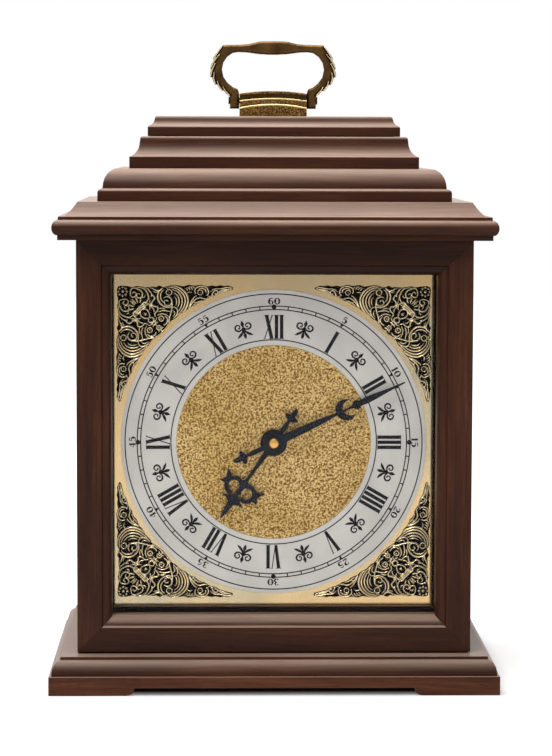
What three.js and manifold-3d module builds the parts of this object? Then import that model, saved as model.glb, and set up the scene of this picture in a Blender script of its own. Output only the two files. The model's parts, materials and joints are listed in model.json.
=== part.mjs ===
// Bracket clock with a glazed front door, a square brass dial and a battery movement.
// Millimetres, +Z up, front towards -Y, origin under the middle of the plinth.
import * as THREE from 'three';
import { mergeVertices, toCreasedNormals } from 'three/addons/utils/BufferGeometryUtils.js';
import Module from 'manifold-3d';

const wasm = await Module();
wasm.setup();

// ---------------------------------------------------------------- driving dimensions

// Case body: the box of the two sides and the two doors, between base board and cornice
const BODY_WIDTH = 239.5;
const BODY_DEPTH = 160.5;
const BODY_HEIGHT = 251.8;
const SIDE_THICKNESS = 12;
const SEAT_GAP = 0.1; // glue line between two wooden pieces

// Plinth: four mitred rails, each cut away between bracket feet
const PLINTH_PROJECTION = 16.75;
const PLINTH_HEIGHT = 11.5;
const PLINTH_RAIL_WIDTH = 20;
const FOOT_LENGTH = 46.5;
const FOOT_ARCH_HEIGHT = 4.6;
const FOOT_CURVE_LENGTH = 5.5;
const MITRE_GAP = 0.1;

// Base board and roof boards: heights, and how far each moulding stands out from the body
const BASE_BOARD_HEIGHT = 11.1;
const BASE_OVOLO_FOOT = 15.15;
const BASE_OVOLO_REACH = 5.2;
const BASE_LEDGE_HEIGHT = 0.8;
const BASE_FILLET_HEIGHT = 2;
const CORNICE_HEIGHT = 22.6;
const CORNICE_FILLET_PROJECTION = 10.6;
const CORNICE_FILLET_HEIGHT = 2.8;
const CORNICE_BEAD_REACH = 3.3;
const CORNICE_BEAD_HEIGHT = 9.2;
const CORNICE_GROOVE_HEIGHT = 2;
const CORNICE_COVE_FOOT = 6.3;
const CORNICE_TOP_INSET = 0.9;
const LOWER_STEP_HEIGHT = 19.7;
const LOWER_STEP_INSET = 12.4;
const LOWER_STEP_FILLET_HEIGHT = 5.4;
const LOWER_STEP_OVOLO_INSET = 15.4;
const LOWER_STEP_OVOLO_REACH = 8.8;
const MIDDLE_STEP_HEIGHT = 19.4;
const MIDDLE_STEP_INSET = 31.1;
const MIDDLE_STEP_FILLET_HEIGHT = 7;
const MIDDLE_STEP_NECK_INSET = 37.2;
const UPPER_STEP_HEIGHT = 12.4;
const UPPER_STEP_INSET = 42.1;
const UPPER_STEP_FILLET_HEIGHT = 5.8;
const UPPER_STEP_NECK_INSET = 46.2;
const EDGE_ROUND = 1.5;

// Front door: four mitred members round a pane
const DOOR_THICKNESS = 19;
const DOOR_GAP_BEHIND = 0.4;
const DOOR_GAP_BELOW = 1;
const DOOR_GAP_ABOVE = 0.4;
const MEMBER_WIDTH = 21;
const MEMBER_FLAT = 14.9;
const MEMBER_BEVEL_WIDTH = 0.8;
const MEMBER_BEVEL_DEPTH = 2.2;
const MEMBER_OVOLO_DEPTH = 5.8;
const REBATE_WIDTH = 4;
const GLASS_FRONT_DEPTH = 13;
const GLASS_THICKNESS = 2.5;
const GLASS_CLEARANCE = 0.3;
const GLAZING_GAP = 0.12;

// Rear door and the pins that both doors turn on
const REAR_DOOR_THICKNESS = 12;
const PIVOT_EDGE_DISTANCE = 4;
const PIVOT_RADIUS = 1.5;
const PIVOT_CLEARANCE = 0.1;
const PIVOT_IN_CASE = 7;
const PIVOT_IN_DOOR = 8;
const REAR_KNOB_RADIUS = 8;
const REAR_KNOB_LENGTH = 14;
const REAR_KNOB_STEM_RADIUS = 2.5;
const REAR_KNOB_EDGE_DISTANCE = 22;

// Magnetic catch of the front door
const MAGNET_RADIUS = 3;
const MAGNET_LENGTH = 8;
const STRIKE_RADIUS = 4;
const STRIKE_THICKNESS = 1;
const CATCH_CLEARANCE = 0.15;

// Dial
const DIAL_DEPTH = 30; // dial plate face behind the door face
const DIAL_PLATE_SIDE_LAP = 3.25; // plate behind the door's stiles
const DIAL_PLATE_END_LAP = 1.75; // plate behind the door's rails
const DIAL_PLATE_THICKNESS = 1.5;
const RING_MARGIN = 4.55; // between the chapter ring and the door's stiles
const RING_WIDTH = 34.1;
const RING_THICKNESS = 1.2;
const DIAL_CENTRE_GAP = 0.3;
const DIAL_CENTRE_THICKNESS = 0.6;
const SPANDREL_THICKNESS = 2.2;
const SPANDREL_RING_GAP = 1.7;
const SPANDREL_OVERHANG = 2.8; // corner pieces beyond the ring's radius
const SPANDREL_TIP_OFFSET = 26;
const PLATE_GAP = 0.06; // between dial pieces that lie on one another
const BATTEN_WIDTH = 13.5;
const BATTEN_DEPTH = 14;

// Hands
const BUSH_RADIUS = 3.9;
const BUSH_BORE_RADIUS = 2.95;
const BUSH_HOLE_CLEARANCE = 0.3;
const BUSH_REACH = 3.4; // bush in front of the dial plate
const NUT_ACROSS_FLATS = 12;
const NUT_THICKNESS = 2.2;
const HOUR_PIPE_RADIUS = 2.65;
const HOUR_PIPE_BORE_RADIUS = 1.75;
const MINUTE_ARBOR_RADIUS = 1.5;
const ARBOR_FIT_CLEARANCE = 0.05;
const HAND_THICKNESS = 0.8;
const HOUR_HAND_MARGIN = 3.1; // between the hour hand's tip and the chapter ring
const HOUR_HAND_DRAWN_LENGTH = 57; // length at which the outline below is drawn
const HOUR_CURL_DISTANCE = 35.7;
const HOUR_CURL_OFFSET = 4.7;
const HOUR_CURL_RADIUS = 6.1;
const HOUR_CURL_HOLE_RADIUS = 3.5;
const HOUR_BARB_DISTANCE = 43.9;
const HOUR_BOSS_RADIUS = 8.3;
const HOUR_HAND_RISE = 4.4; // hand face in front of the dial plate
const HOUR_HAND_ANGLE = 215.2; // clockwise from twelve
const HOUR_TAIL_LENGTH = 25.2;
const MINUTE_HAND_MARGIN = 5.4; // between the minute hand's tip and the ring's edge
const MINUTE_HAND_DRAWN_LENGTH = 88.8;
const MINUTE_CRESCENT_DISTANCE = 48.9;
const MINUTE_CRESCENT_RADIUS = 6.6;
const MINUTE_CRESCENT_HOLE_RADIUS = 4.8;
const MINUTE_CRESCENT_HOLE_SHIFT = 3;
const MINUTE_BARB_DISTANCE = 56;
const MINUTE_TAIL_LENGTH = 27.3;
const MINUTE_BOSS_RADIUS = 6.4;
const MINUTE_HAND_RISE = 7.4;
const MINUTE_HAND_ANGLE = 64.9;
const HAND_NUT_RADIUS = 3.2;
const HAND_NUT_HEIGHT = 2.6;
const HAND_NUT_BORE_DEPTH = 1.6;

// Movement: a moulded box behind the dial plate, with its battery below the wheels
const MOVEMENT_HALF_WIDTH = 28;
const MOVEMENT_TOP = 27;
const MOVEMENT_BOTTOM = 33;
const MOVEMENT_DEPTH = 19;
const MOVEMENT_WALL = 1.4;
const MOVEMENT_SHELF = 15.6; // shelf between wheels and battery, below the arbor
const BATTERY_RADIUS = 7.1;
const BATTERY_LENGTH = 50;
const BATTERY_BUTTON_RADIUS = 2.75;
const BATTERY_BUTTON_LENGTH = 1.2;
const WHEEL_THICKNESS = 0.9;
const PINION_LENGTH = 1.7;
const WHEEL_ARBOR_RADIUS = 0.5;
const PIVOT_HOLE_RADIUS = 0.6;
const WHEEL_END_PLAY = 0.3;
const TOOTH_ADDENDUM = 0.7; // in modules
const TOOTH_DEDENDUM = 1;
const TOOTH_ROOT_SHARE = 0.52; // of the tooth pitch
const TOOTH_TIP_SHARE = 0.2;
const CANNON_PINION_TEETH = 12;
const MOTION_WHEEL_TEETH = 36;
const MOTION_WHEEL_MODULE = 0.5;
const MOTION_PINION_TEETH = 10;
const HOUR_WHEEL_TEETH = 40;
const MOTION_WHEEL_BEARING = 60; // degrees from the centre arbor
const SETTING_BEARING = 10;
const CENTRE_WHEEL_TEETH = 48;
const CENTRE_WHEEL_MODULE = 0.4;
const THIRD_WHEEL_TEETH = 45;
const THIRD_WHEEL_MODULE = 0.34;
const THIRD_WHEEL_BEARING = 160;
const SECOND_WHEEL_TEETH = 30;
const SECOND_WHEEL_MODULE = 0.4;
const SECOND_WHEEL_BEARING = 100;
const STEP_WHEEL_TEETH = 36;
const STEP_WHEEL_MODULE = 0.26;
const STEP_WHEEL_BEARING = 20;
const ROTOR_BEARING = 60;
const SMALL_PINION_TEETH = 6;
const ROTOR_RADIUS = 2.3;
const ROTOR_LENGTH = 2.4;
const STATOR_HOLE_RADIUS = 2.9;
const STATOR_THICKNESS = 1.2;
const STATOR_HEAD_REACH = 5;
const STATOR_HEAD_HALF_HEIGHT = 3.9;
const COIL_RADIUS = 3;
const COIL_LENGTH = 15;
const COIL_BORE_HALF = 1.35;
const STATOR_CORE_HALF = 1.05;
const BOARD_THICKNESS = 1;
const BOARD_LEFT = 12; // from the arbor
const BOARD_TOP = 5;
const CHIP_WIDTH = 5;
const CHIP_THICKNESS = 0.9;
const CRYSTAL_RADIUS = 1;
const CRYSTAL_LENGTH = 4.5;
const BOARD_POST_RADIUS = 1;
const SETTING_KNOB_RADIUS = 7;
const SETTING_KNOB_LENGTH = 5.5;
const SETTING_SHAFT_RADIUS = 1.8;
const SETTING_SHAFT_CLEARANCE = 0.4;

// Carrying handle: a bail that swings on two pins in the ends of a saddle block
const HANDLE_BLOCK_HALF_LENGTH = 20.9;
const HANDLE_BLOCK_DEPTH = 26;
const HANDLE_BLOCK_HEIGHT = 15.8;
const HANDLE_BLOCK_BANDS = [[5.5, 7.7, 0], [9.9, 11.4, 4], [13.2, 14.2, 9]]; // end, crown, less depth
const HANDLE_CROWN_THICKNESS = 1.6;
const HANDLE_CROWN_FOOT = 13;
const HANDLE_THICKNESS = 8;
const HANDLE_RISE = 47; // top of the handle above the roof
const HANDLE_OPENING_RADIUS = 11.5;
const HANDLE_OPENING_OFFSET = 20.6;
const HANDLE_OPENING_RISE = 28.9;
const HANDLE_BAR_SWELLING = 2.2;
const HANDLE_CORNER = 31.6;
const FEATHER_COUNT = 5;
const FEATHER_REACH = 18.9;
const FEATHER_DEPTH = 1;
const FEATHER_FIRST_TURN = 24; // degrees above the middle of the handle's opening
const FEATHER_TURN = 18.2;
const FEATHER_TAPER = 0.75;
const HANDLE_PIVOT_RISE = 10;
const HANDLE_LUG_REACH = 5.1;
const HANDLE_LUG_WIDTH = 5.8;
const HANDLE_LUG_GAP = 0.3;
const HANDLE_NECK_RISE = 17.4;
const HANDLE_PIN_RADIUS = 1.8;
const HANDLE_PIN_CLEARANCE = 0.1;
const HANDLE_PIN_IN_BLOCK = 6;
const HANDLE_PIN_HEAD_RADIUS = 2.4;
const HANDLE_PIN_HEAD_LENGTH = 0.8;

// ---------------------------------------------------------------- worked-out places

const halfWidth = BODY_WIDTH / 2;
const halfDepth = BODY_DEPTH / 2;
const frontFace = -halfDepth;
const doorBack = frontFace + DOOR_THICKNESS;
const caseFront = doorBack + DOOR_GAP_BEHIND;
const rearDoorFront = halfDepth - REAR_DOOR_THICKNESS;
const caseBack = rearDoorFront - DOOR_GAP_BEHIND;
const baseBoardBottom = PLINTH_HEIGHT + SEAT_GAP;
const bodyBottom = baseBoardBottom + BASE_BOARD_HEIGHT;
const bodyTop = bodyBottom + BODY_HEIGHT;
const corniceBottom = bodyTop + SEAT_GAP;
const lowerStepBottom = corniceBottom + CORNICE_HEIGHT + SEAT_GAP;
const middleStepBottom = lowerStepBottom + LOWER_STEP_HEIGHT + SEAT_GAP;
const upperStepBottom = middleStepBottom + MIDDLE_STEP_HEIGHT + SEAT_GAP;
const roofTop = upperStepBottom + UPPER_STEP_HEIGHT;
const doorBottom = bodyBottom + DOOR_GAP_BELOW;
const doorTop = corniceBottom - DOOR_GAP_ABOVE;
const doorHeight = doorTop - doorBottom;
const pivotX = halfWidth - PIVOT_EDGE_DISTANCE;
const frontPivotY = doorBack - PIVOT_EDGE_DISTANCE;
const rearPivotY = rearDoorFront + PIVOT_EDGE_DISTANCE;
const dialFace = frontFace + DIAL_DEPTH;
const dialCentreZ = (doorBottom + doorTop) / 2;
const dialBack = dialFace + DIAL_PLATE_THICKNESS;
const sightHalfWidth = halfWidth - MEMBER_WIDTH;
const sightHalfHeight = doorHeight / 2 - MEMBER_WIDTH;
const ringOuterRadius = sightHalfWidth - RING_MARGIN;
const ringInnerRadius = ringOuterRadius - RING_WIDTH;
const catchX = halfWidth - SIDE_THICKNESS / 2;

// ---------------------------------------------------------------- finishes

function finish(color, roughness, metalness) {
  return new THREE.MeshStandardMaterial({ color, roughness, metalness });
}

const MAHOGANY = finish(0x3a211b, 0.35, 0);
const BEECH = finish(0x9c7b53, 0.6, 0);
const BRASS = finish(0xc9a154, 0.25, 1);
const ANTIQUE_BRASS = finish(0x6b4a1c, 0.45, 1);
const SILVERED = finish(0xb9b7b4, 0.4, 0.6);
const MATTED_GOLD = finish(0xbd9a54, 0.6, 0.8);
const BLUED_STEEL = finish(0x14151a, 0.35, 0.6);
const STEEL = finish(0x9a9a9c, 0.35, 1);
const GLASS = new THREE.MeshStandardMaterial({
  color: 0xffffff, roughness: 0.03, metalness: 0, transparent: true, opacity: 0.12,
});
const BLACK_PLASTIC = finish(0x17171a, 0.5, 0);
const WHITE_PLASTIC = finish(0xd8d6cf, 0.5, 0);
const COPPER = finish(0xa8582c, 0.4, 0.8);
const GREEN_BOARD = finish(0x2c5a3a, 0.6, 0);
const BATTERY_JACKET = finish(0x8a6a34, 0.4, 0.3);

// ---------------------------------------------------------------- solids

// A closed three.js geometry as a manifold solid
function toSolid(geometry) {
  const bare = new THREE.BufferGeometry();
  bare.setAttribute('position', geometry.getAttribute('position').clone());
  if (geometry.index) bare.setIndex(geometry.index.clone());
  const merged = mergeVertices(bare, 1e-4);
  return new wasm.Manifold(new wasm.Mesh({
    numProp: 3,
    vertProperties: new Float32Array(merged.getAttribute('position').array),
    triVerts: new Uint32Array(merged.index.array),
  }));
}

function toGeometry(solid) {
  const mesh = solid.getMesh();
  const geometry = new THREE.BufferGeometry();
  geometry.setAttribute('position', new THREE.BufferAttribute(mesh.vertProperties.slice(), 3));
  geometry.setIndex(new THREE.BufferAttribute(mesh.triVerts.slice(), 1));
  return toCreasedNormals(geometry, Math.PI / 5);
}

function join(...solids) {
  return solids.reduce((whole, solid) => whole.add(solid));
}

function cut(solid, ...tools) {
  return tools.reduce((rest, tool) => rest.subtract(tool), solid);
}

function box([x0, y0, z0], [x1, y1, z1]) {
  const geometry = new THREE.BoxGeometry(x1 - x0, y1 - y0, z1 - z0);
  geometry.translate((x0 + x1) / 2, (y0 + y1) / 2, (z0 + z1) / 2);
  return toSolid(geometry);
}

// A cylinder between two places on one of the axes; across is the centre in the other two
function rod(axis, from, to, radius, across = [0, 0], sides = 24) {
  const geometry = new THREE.CylinderGeometry(radius, radius, to - from, sides);
  const middle = (from + to) / 2;
  if (axis === 'x') geometry.rotateZ(-Math.PI / 2).translate(middle, across[0], across[1]);
  if (axis === 'y') geometry.translate(across[0], middle, across[1]);
  if (axis === 'z') geometry.rotateX(Math.PI / 2).translate(across[0], across[1], middle);
  return toSolid(geometry);
}

// A shape drawn as the front view (x, z), from depth y0 back to y1
function plate(shape, y0, y1, curveSegments = 8) {
  const geometry = new THREE.ExtrudeGeometry(shape, {
    depth: y1 - y0, bevelEnabled: false, curveSegments,
  });
  geometry.rotateX(Math.PI / 2).translate(0, y1, 0);
  return toSolid(geometry);
}

function outline(points) {
  return new THREE.Shape(points.map(([x, z]) => new THREE.Vector2(x, z)));
}

// Points (along, across) of one side of a shape, repeated mirrored on the other side
function mirrored(points) {
  const back = points.slice().reverse().map(([along, across]) => [along, -across]);
  return points.concat(back.filter(([, across]) => across !== 0));
}

function disc(radius, y0, y1, centre = [0, 0], sides = 24) {
  return rod('y', y0, y1, radius, centre, sides);
}

function annulus(outer, inner, y0, y1, centre = [0, 0], sides = 24) {
  return cut(disc(outer, y0, y1, centre, sides), disc(inner, y0 - 1, y1 + 1, centre, sides));
}

// Closed surface through rings of equal length, capped flat at both ends
function loft(rings) {
  const size = rings[0].length;
  const last = (rings.length - 1) * size;
  const index = capFaces(rings[0]).flatMap(([a, b, c]) => [a, c, b]);
  index.push(...capFaces(rings.at(-1)).flat().map((i) => last + i));
  for (let ring = 0; ring < last; ring += size) {
    for (let i = 0; i < size; i += 1) {
      const a = ring + i;
      const b = ring + (i + 1) % size;
      index.push(a, b, b + size, a, b + size, a + size);
    }
  }
  const geometry = new THREE.BufferGeometry();
  geometry.setAttribute('position', new THREE.BufferAttribute(new Float32Array(rings.flat(2)), 3));
  geometry.setIndex(index);
  const solid = toSolid(geometry);
  return solid.volume() > 0 ? solid : toSolid(geometry.setIndex(index.reverse()));
}

// Triangles over a flat ring of points, wound the same way as the ring
function capFaces(ring) {
  const normal = new THREE.Vector3();
  ring.forEach((point, i) => {
    const next = new THREE.Vector3(...ring[(i + 1) % ring.length]);
    normal.add(new THREE.Vector3(...point).cross(next));
  });
  const sizes = normal.toArray().map(Math.abs);
  const [u, v] = [0, 1, 2].filter((axis) => axis !== sizes.indexOf(Math.max(...sizes)));
  const flat = ring.map((point) => new THREE.Vector2(point[u], point[v]));
  const { area, triangulateShape } = THREE.ShapeUtils;
  return triangulateShape(flat.slice(), []).map(([a, b, c]) => (
    area([flat[a], flat[b], flat[c]]) * area(flat) > 0 ? [a, b, c] : [a, c, b]));
}

// Points on a quarter ellipse, from its start up to its end, bulging outwards
function quarterRound([x0, z0], [x1, z1], steps = 6) {
  const points = [];
  for (let i = 0; i <= steps; i += 1) {
    const turn = (Math.PI / 2) * (i / steps);
    points.push([x1 + (x0 - x1) * Math.cos(turn), z0 + (z1 - z0) * Math.sin(turn)]);
  }
  return points;
}

// Points on a hollow curve from start to end, drawn towards a corner point
function hollow(start, corner, end, steps = 5) {
  const curve = new THREE.QuadraticBezierCurve(
    new THREE.Vector2(...start), new THREE.Vector2(...corner), new THREE.Vector2(...end));
  return curve.getPoints(steps).map((p) => [p.x, p.y]);
}

// A board whose four edges carry one moulding; profile points are (projection, height)
function mouldedBoard(profile, bottom) {
  return loft(profile.map(([projection, height]) => {
    const x = halfWidth + projection;
    const y = halfDepth + projection;
    const z = bottom + height;
    return [[-x, -y, z], [x, -y, z], [x, y, z], [-x, y, z]];
  }));
}

// One member of a mitred frame lying in the front view. Section points are (inset, depth):
// how far in from the frame's outer edge, and how far behind its face. Side is 0 for the
// bottom member, then 1 right, 2 top and 3 left.
function mitredMember(section, side, frame, gap = MITRE_GAP) {
  const { left, right, bottom, top, face } = frame;
  const short = gap / Math.SQRT2;
  const ends = [0, 1].map((end) => section.map(([inset, depth]) => {
    const y = face + depth;
    const low = inset + short;
    if (side === 0) return [end ? right - low : left + low, y, bottom + inset];
    if (side === 2) return [end ? right - low : left + low, y, top - inset];
    if (side === 1) return [right - inset, y, end ? top - low : bottom + low];
    return [left + inset, y, end ? top - low : bottom + low];
  }));
  return loft(ends);
}

// ---------------------------------------------------------------- scene graph

const clock = new THREE.Group();

function add(parent, name, material, solid) {
  const mesh = new THREE.Mesh(toGeometry(solid), material);
  mesh.name = name;
  parent.add(mesh);
  return mesh;
}

// ---------------------------------------------------------------- plinth

// Side of a bracket foot that curves in under the rail, drawn from floor to arch top
function archOutline(halfSpan) {
  const top = halfSpan - FOOT_CURVE_LENGTH;
  const arch = new THREE.Shape();
  arch.moveTo(-halfSpan, -1);
  arch.lineTo(-halfSpan, 0);
  arch.bezierCurveTo(-halfSpan + FOOT_CURVE_LENGTH / 2, 0, -top, FOOT_ARCH_HEIGHT / 3, -top, FOOT_ARCH_HEIGHT);
  arch.lineTo(top, FOOT_ARCH_HEIGHT);
  arch.bezierCurveTo(top, FOOT_ARCH_HEIGHT / 3, halfSpan - FOOT_CURVE_LENGTH / 2, 0, halfSpan, 0);
  arch.lineTo(halfSpan, -1);
  return arch;
}

function plinthRail(alongX, direction) {
  const length = (alongX ? halfWidth : halfDepth) + PLINTH_PROJECTION;
  const outer = (alongX ? halfDepth : halfWidth) + PLINTH_PROJECTION;
  const inner = outer - PLINTH_RAIL_WIDTH;
  const short = MITRE_GAP / Math.SQRT2;
  const ring = (z) => {
    const corners = [[-length + short, outer], [length - short, outer],
      [length - PLINTH_RAIL_WIDTH - short, inner], [-length + PLINTH_RAIL_WIDTH + short, inner]];
    return corners.map(([along, across]) => (alongX
      ? [along, direction * across, z] : [direction * across, along, z]));
  };
  const rail = loft([ring(0), ring(PLINTH_HEIGHT)]);
  const arch = plate(archOutline(length - FOOT_LENGTH), inner - 1, outer + 1, 4);
  const turned = alongX ? arch : arch.rotate([0, 0, -90]);
  return rail.subtract(direction > 0 ? turned : turned.rotate([0, 0, 180]));
}

function addPlinth() {
  add(clock, 'plinth_front', MAHOGANY, plinthRail(true, -1));
  add(clock, 'plinth_back', MAHOGANY, plinthRail(true, 1));
  add(clock, 'plinth_left', MAHOGANY, plinthRail(false, -1));
  add(clock, 'plinth_right', MAHOGANY, plinthRail(false, 1));
}

// ---------------------------------------------------------------- case

function pivotHole(y, from, to) {
  return rod('z', from, to, PIVOT_RADIUS + PIVOT_CLEARANCE, [pivotX, y], 16);
}

function addBaseBoard() {
  const filletTop = BASE_BOARD_HEIGHT;
  const ovoloTop = filletTop - BASE_FILLET_HEIGHT;
  const fillet = BASE_OVOLO_FOOT - BASE_OVOLO_REACH;
  const board = mouldedBoard([
    [BASE_OVOLO_FOOT, 0],
    ...quarterRound([BASE_OVOLO_FOOT, BASE_LEDGE_HEIGHT], [fillet, ovoloTop]),
    [fillet, filletTop],
  ], baseBoardBottom);
  const depth = bodyBottom - PIVOT_IN_CASE;
  add(clock, 'base_board', MAHOGANY, cut(board,
    pivotHole(frontPivotY, depth, bodyBottom + 1), pivotHole(rearPivotY, depth, bodyBottom + 1)));
}

function addSides() {
  const low = bodyBottom + SEAT_GAP;
  const inner = halfWidth - SIDE_THICKNESS;
  const left = box([-halfWidth, caseFront, low], [-inner, caseBack, bodyTop]);
  const socket = rod('y', caseFront - 1, caseFront + MAGNET_LENGTH + CATCH_CLEARANCE,
    MAGNET_RADIUS + CATCH_CLEARANCE, [-catchX, dialCentreZ], 20);
  add(clock, 'side_left', MAHOGANY, left.subtract(socket));
  add(clock, 'side_right', MAHOGANY, box([inner, caseFront, low], [halfWidth, caseBack, bodyTop]));
  add(clock, 'magnet_catch', STEEL, rod('y', caseFront, caseFront + MAGNET_LENGTH,
    MAGNET_RADIUS, [-catchX, dialCentreZ], 20));

  const battenFront = dialBack + PLATE_GAP;
  for (const [name, direction] of [['dial_batten_left', -1], ['dial_batten_right', 1]]) {
    const near = direction * (inner - SEAT_GAP - BATTEN_WIDTH);
    const far = direction * (inner - SEAT_GAP);
    add(clock, name, BEECH, box(
      [Math.min(near, far), battenFront, low], [Math.max(near, far), battenFront + BATTEN_DEPTH, bodyTop]));
  }
}

function addRoof() {
  const beadMiddle = CORNICE_FILLET_HEIGHT + CORNICE_BEAD_HEIGHT / 2;
  const beadTop = CORNICE_FILLET_HEIGHT + CORNICE_BEAD_HEIGHT;
  const grooveTop = beadTop + CORNICE_GROOVE_HEIGHT;
  const bead = [];
  for (let i = 0; i <= 8; i += 1) {
    const turn = Math.PI * (i / 8 - 0.5);
    bead.push([CORNICE_FILLET_PROJECTION + CORNICE_BEAD_REACH * Math.cos(turn),
      beadMiddle + (CORNICE_BEAD_HEIGHT / 2) * Math.sin(turn)]);
  }
  const cornice = mouldedBoard([
    [CORNICE_FILLET_PROJECTION, 0],
    ...bead,
    [CORNICE_FILLET_PROJECTION - 0.4, beadTop + 0.1],
    [CORNICE_FILLET_PROJECTION - 0.5, grooveTop],
    ...hollow([CORNICE_COVE_FOOT, grooveTop + 0.4],
      [CORNICE_COVE_FOOT * 0.45, grooveTop + 2.8], [-CORNICE_TOP_INSET, CORNICE_HEIGHT]),
  ], corniceBottom);
  const holeTop = corniceBottom + PIVOT_IN_CASE;
  add(clock, 'cornice_board', MAHOGANY, cut(cornice,
    pivotHole(frontPivotY, corniceBottom - 1, holeTop), pivotHole(rearPivotY, corniceBottom - 1, holeTop)));

  const ovoloFoot = LOWER_STEP_FILLET_HEIGHT + EDGE_ROUND + 1;
  add(clock, 'roof_step_lower', MAHOGANY, mouldedBoard([
    [-LOWER_STEP_INSET, 0],
    ...quarterRound([-LOWER_STEP_INSET, LOWER_STEP_FILLET_HEIGHT],
      [-LOWER_STEP_INSET - 2 * EDGE_ROUND, LOWER_STEP_FILLET_HEIGHT + EDGE_ROUND + 0.8], 3),
    ...quarterRound([-LOWER_STEP_OVOLO_INSET, ovoloFoot],
      [-LOWER_STEP_OVOLO_INSET - LOWER_STEP_OVOLO_REACH, LOWER_STEP_HEIGHT]),
  ], lowerStepBottom));

  add(clock, 'roof_step_middle', MAHOGANY, mouldedBoard([
    [-MIDDLE_STEP_INSET, 0],
    [-MIDDLE_STEP_INSET, MIDDLE_STEP_FILLET_HEIGHT],
    ...hollow([-MIDDLE_STEP_INSET - 1.4, MIDDLE_STEP_FILLET_HEIGHT + 0.5],
      [-MIDDLE_STEP_NECK_INSET, MIDDLE_STEP_FILLET_HEIGHT + 3], [-MIDDLE_STEP_NECK_INSET - 0.2, MIDDLE_STEP_HEIGHT - 3]),
    ...quarterRound([-MIDDLE_STEP_NECK_INSET - 0.4, MIDDLE_STEP_HEIGHT - EDGE_ROUND],
      [-MIDDLE_STEP_NECK_INSET - 0.4 - EDGE_ROUND, MIDDLE_STEP_HEIGHT], 3),
  ], middleStepBottom));

  add(clock, 'roof_step_upper', MAHOGANY, mouldedBoard([
    [-UPPER_STEP_INSET, 0],
    [-UPPER_STEP_INSET, UPPER_STEP_FILLET_HEIGHT],
    ...hollow([-UPPER_STEP_INSET - 1.2, UPPER_STEP_FILLET_HEIGHT + 0.8],
      [-UPPER_STEP_NECK_INSET + 0.2, UPPER_STEP_FILLET_HEIGHT + 2], [-UPPER_STEP_NECK_INSET, UPPER_STEP_HEIGHT - 2]),
    ...quarterRound([-UPPER_STEP_NECK_INSET - 0.2, UPPER_STEP_HEIGHT - EDGE_ROUND],
      [-UPPER_STEP_NECK_INSET - 0.2 - EDGE_ROUND, UPPER_STEP_HEIGHT], 3),
  ], upperStepBottom));
}

// ---------------------------------------------------------------- front door

// Waste outside a round back corner, centred on the pivot pin, so that the door can turn
function cornerWaste(pivotY, backwards, from, to) {
  const reach = PIVOT_EDGE_DISTANCE + 1;
  const y0 = backwards ? pivotY : pivotY - reach;
  const block = box([pivotX, y0, from], [pivotX + reach, y0 + reach, to]);
  return block.subtract(rod('z', from - 1, to + 1, PIVOT_EDGE_DISTANCE, [pivotX, pivotY], 32));
}

function addFrontDoor() {
  const frame = { left: -halfWidth, right: halfWidth, bottom: doorBottom, top: doorTop, face: frontFace };
  const ovoloStart = MEMBER_FLAT + MEMBER_BEVEL_WIDTH;
  const wallDepth = MEMBER_BEVEL_DEPTH + MEMBER_OVOLO_DEPTH;
  const ovolo = [];
  for (let i = 0; i <= 6; i += 1) {
    const turn = (Math.PI / 2) * (i / 6);
    ovolo.push([ovoloStart + (MEMBER_WIDTH - ovoloStart) * Math.sin(turn),
      wallDepth - MEMBER_OVOLO_DEPTH * Math.cos(turn)]);
  }
  const rebate = MEMBER_WIDTH - REBATE_WIDTH;
  const section = [[0, 0], [MEMBER_FLAT, 0], ...ovolo,
    [MEMBER_WIDTH, GLASS_FRONT_DEPTH], [rebate, GLASS_FRONT_DEPTH], [rebate, DOOR_THICKNESS], [0, DOOR_THICKNESS]];
  const waste = cornerWaste(frontPivotY, true, doorBottom - 1, doorTop + 1);
  const lowHole = pivotHole(frontPivotY, doorBottom - 1, doorBottom + PIVOT_IN_DOOR + CATCH_CLEARANCE);
  const highHole = pivotHole(frontPivotY, doorTop - PIVOT_IN_DOOR - CATCH_CLEARANCE, doorTop + 1);
  const strikeSeat = rod('y', doorBack - STRIKE_THICKNESS - CATCH_CLEARANCE, doorBack + 1,
    STRIKE_RADIUS + CATCH_CLEARANCE, [-catchX, dialCentreZ], 20);
  add(clock, 'door_rail_bottom', MAHOGANY, cut(mitredMember(section, 0, frame), waste, lowHole));
  add(clock, 'door_stile_right', MAHOGANY, cut(mitredMember(section, 1, frame), waste, lowHole, highHole));
  add(clock, 'door_rail_top', MAHOGANY, cut(mitredMember(section, 2, frame), waste, highHole));
  add(clock, 'door_stile_left', MAHOGANY, mitredMember(section, 3, frame).subtract(strikeSeat));
  add(clock, 'strike_plate', STEEL, rod('y', doorBack - STRIKE_THICKNESS, doorBack,
    STRIKE_RADIUS, [-catchX, dialCentreZ], 20));

  const inset = rebate + GLASS_CLEARANCE;
  const glassFront = frontFace + GLASS_FRONT_DEPTH + GLAZING_GAP;
  const glassBack = glassFront + GLASS_THICKNESS;
  add(clock, 'door_glass', GLASS, box(
    [-halfWidth + inset, glassFront, doorBottom + inset], [halfWidth - inset, glassBack, doorTop - inset]));
  const beadIn = rebate + GLAZING_GAP;
  const beadFront = glassBack + GLAZING_GAP - frontFace;
  const beadSection = [[beadIn, beadFront], [MEMBER_WIDTH - GLAZING_GAP, beadFront],
    [MEMBER_WIDTH - GLAZING_GAP, DOOR_THICKNESS - GLAZING_GAP], [beadIn, DOOR_THICKNESS - GLAZING_GAP]];
  ['bottom', 'right', 'top', 'left'].forEach((place, side) => {
    add(clock, `glazing_bead_${place}`, MAHOGANY, mitredMember(beadSection, side, frame));
  });
}

// ---------------------------------------------------------------- rear door and pivots

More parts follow.
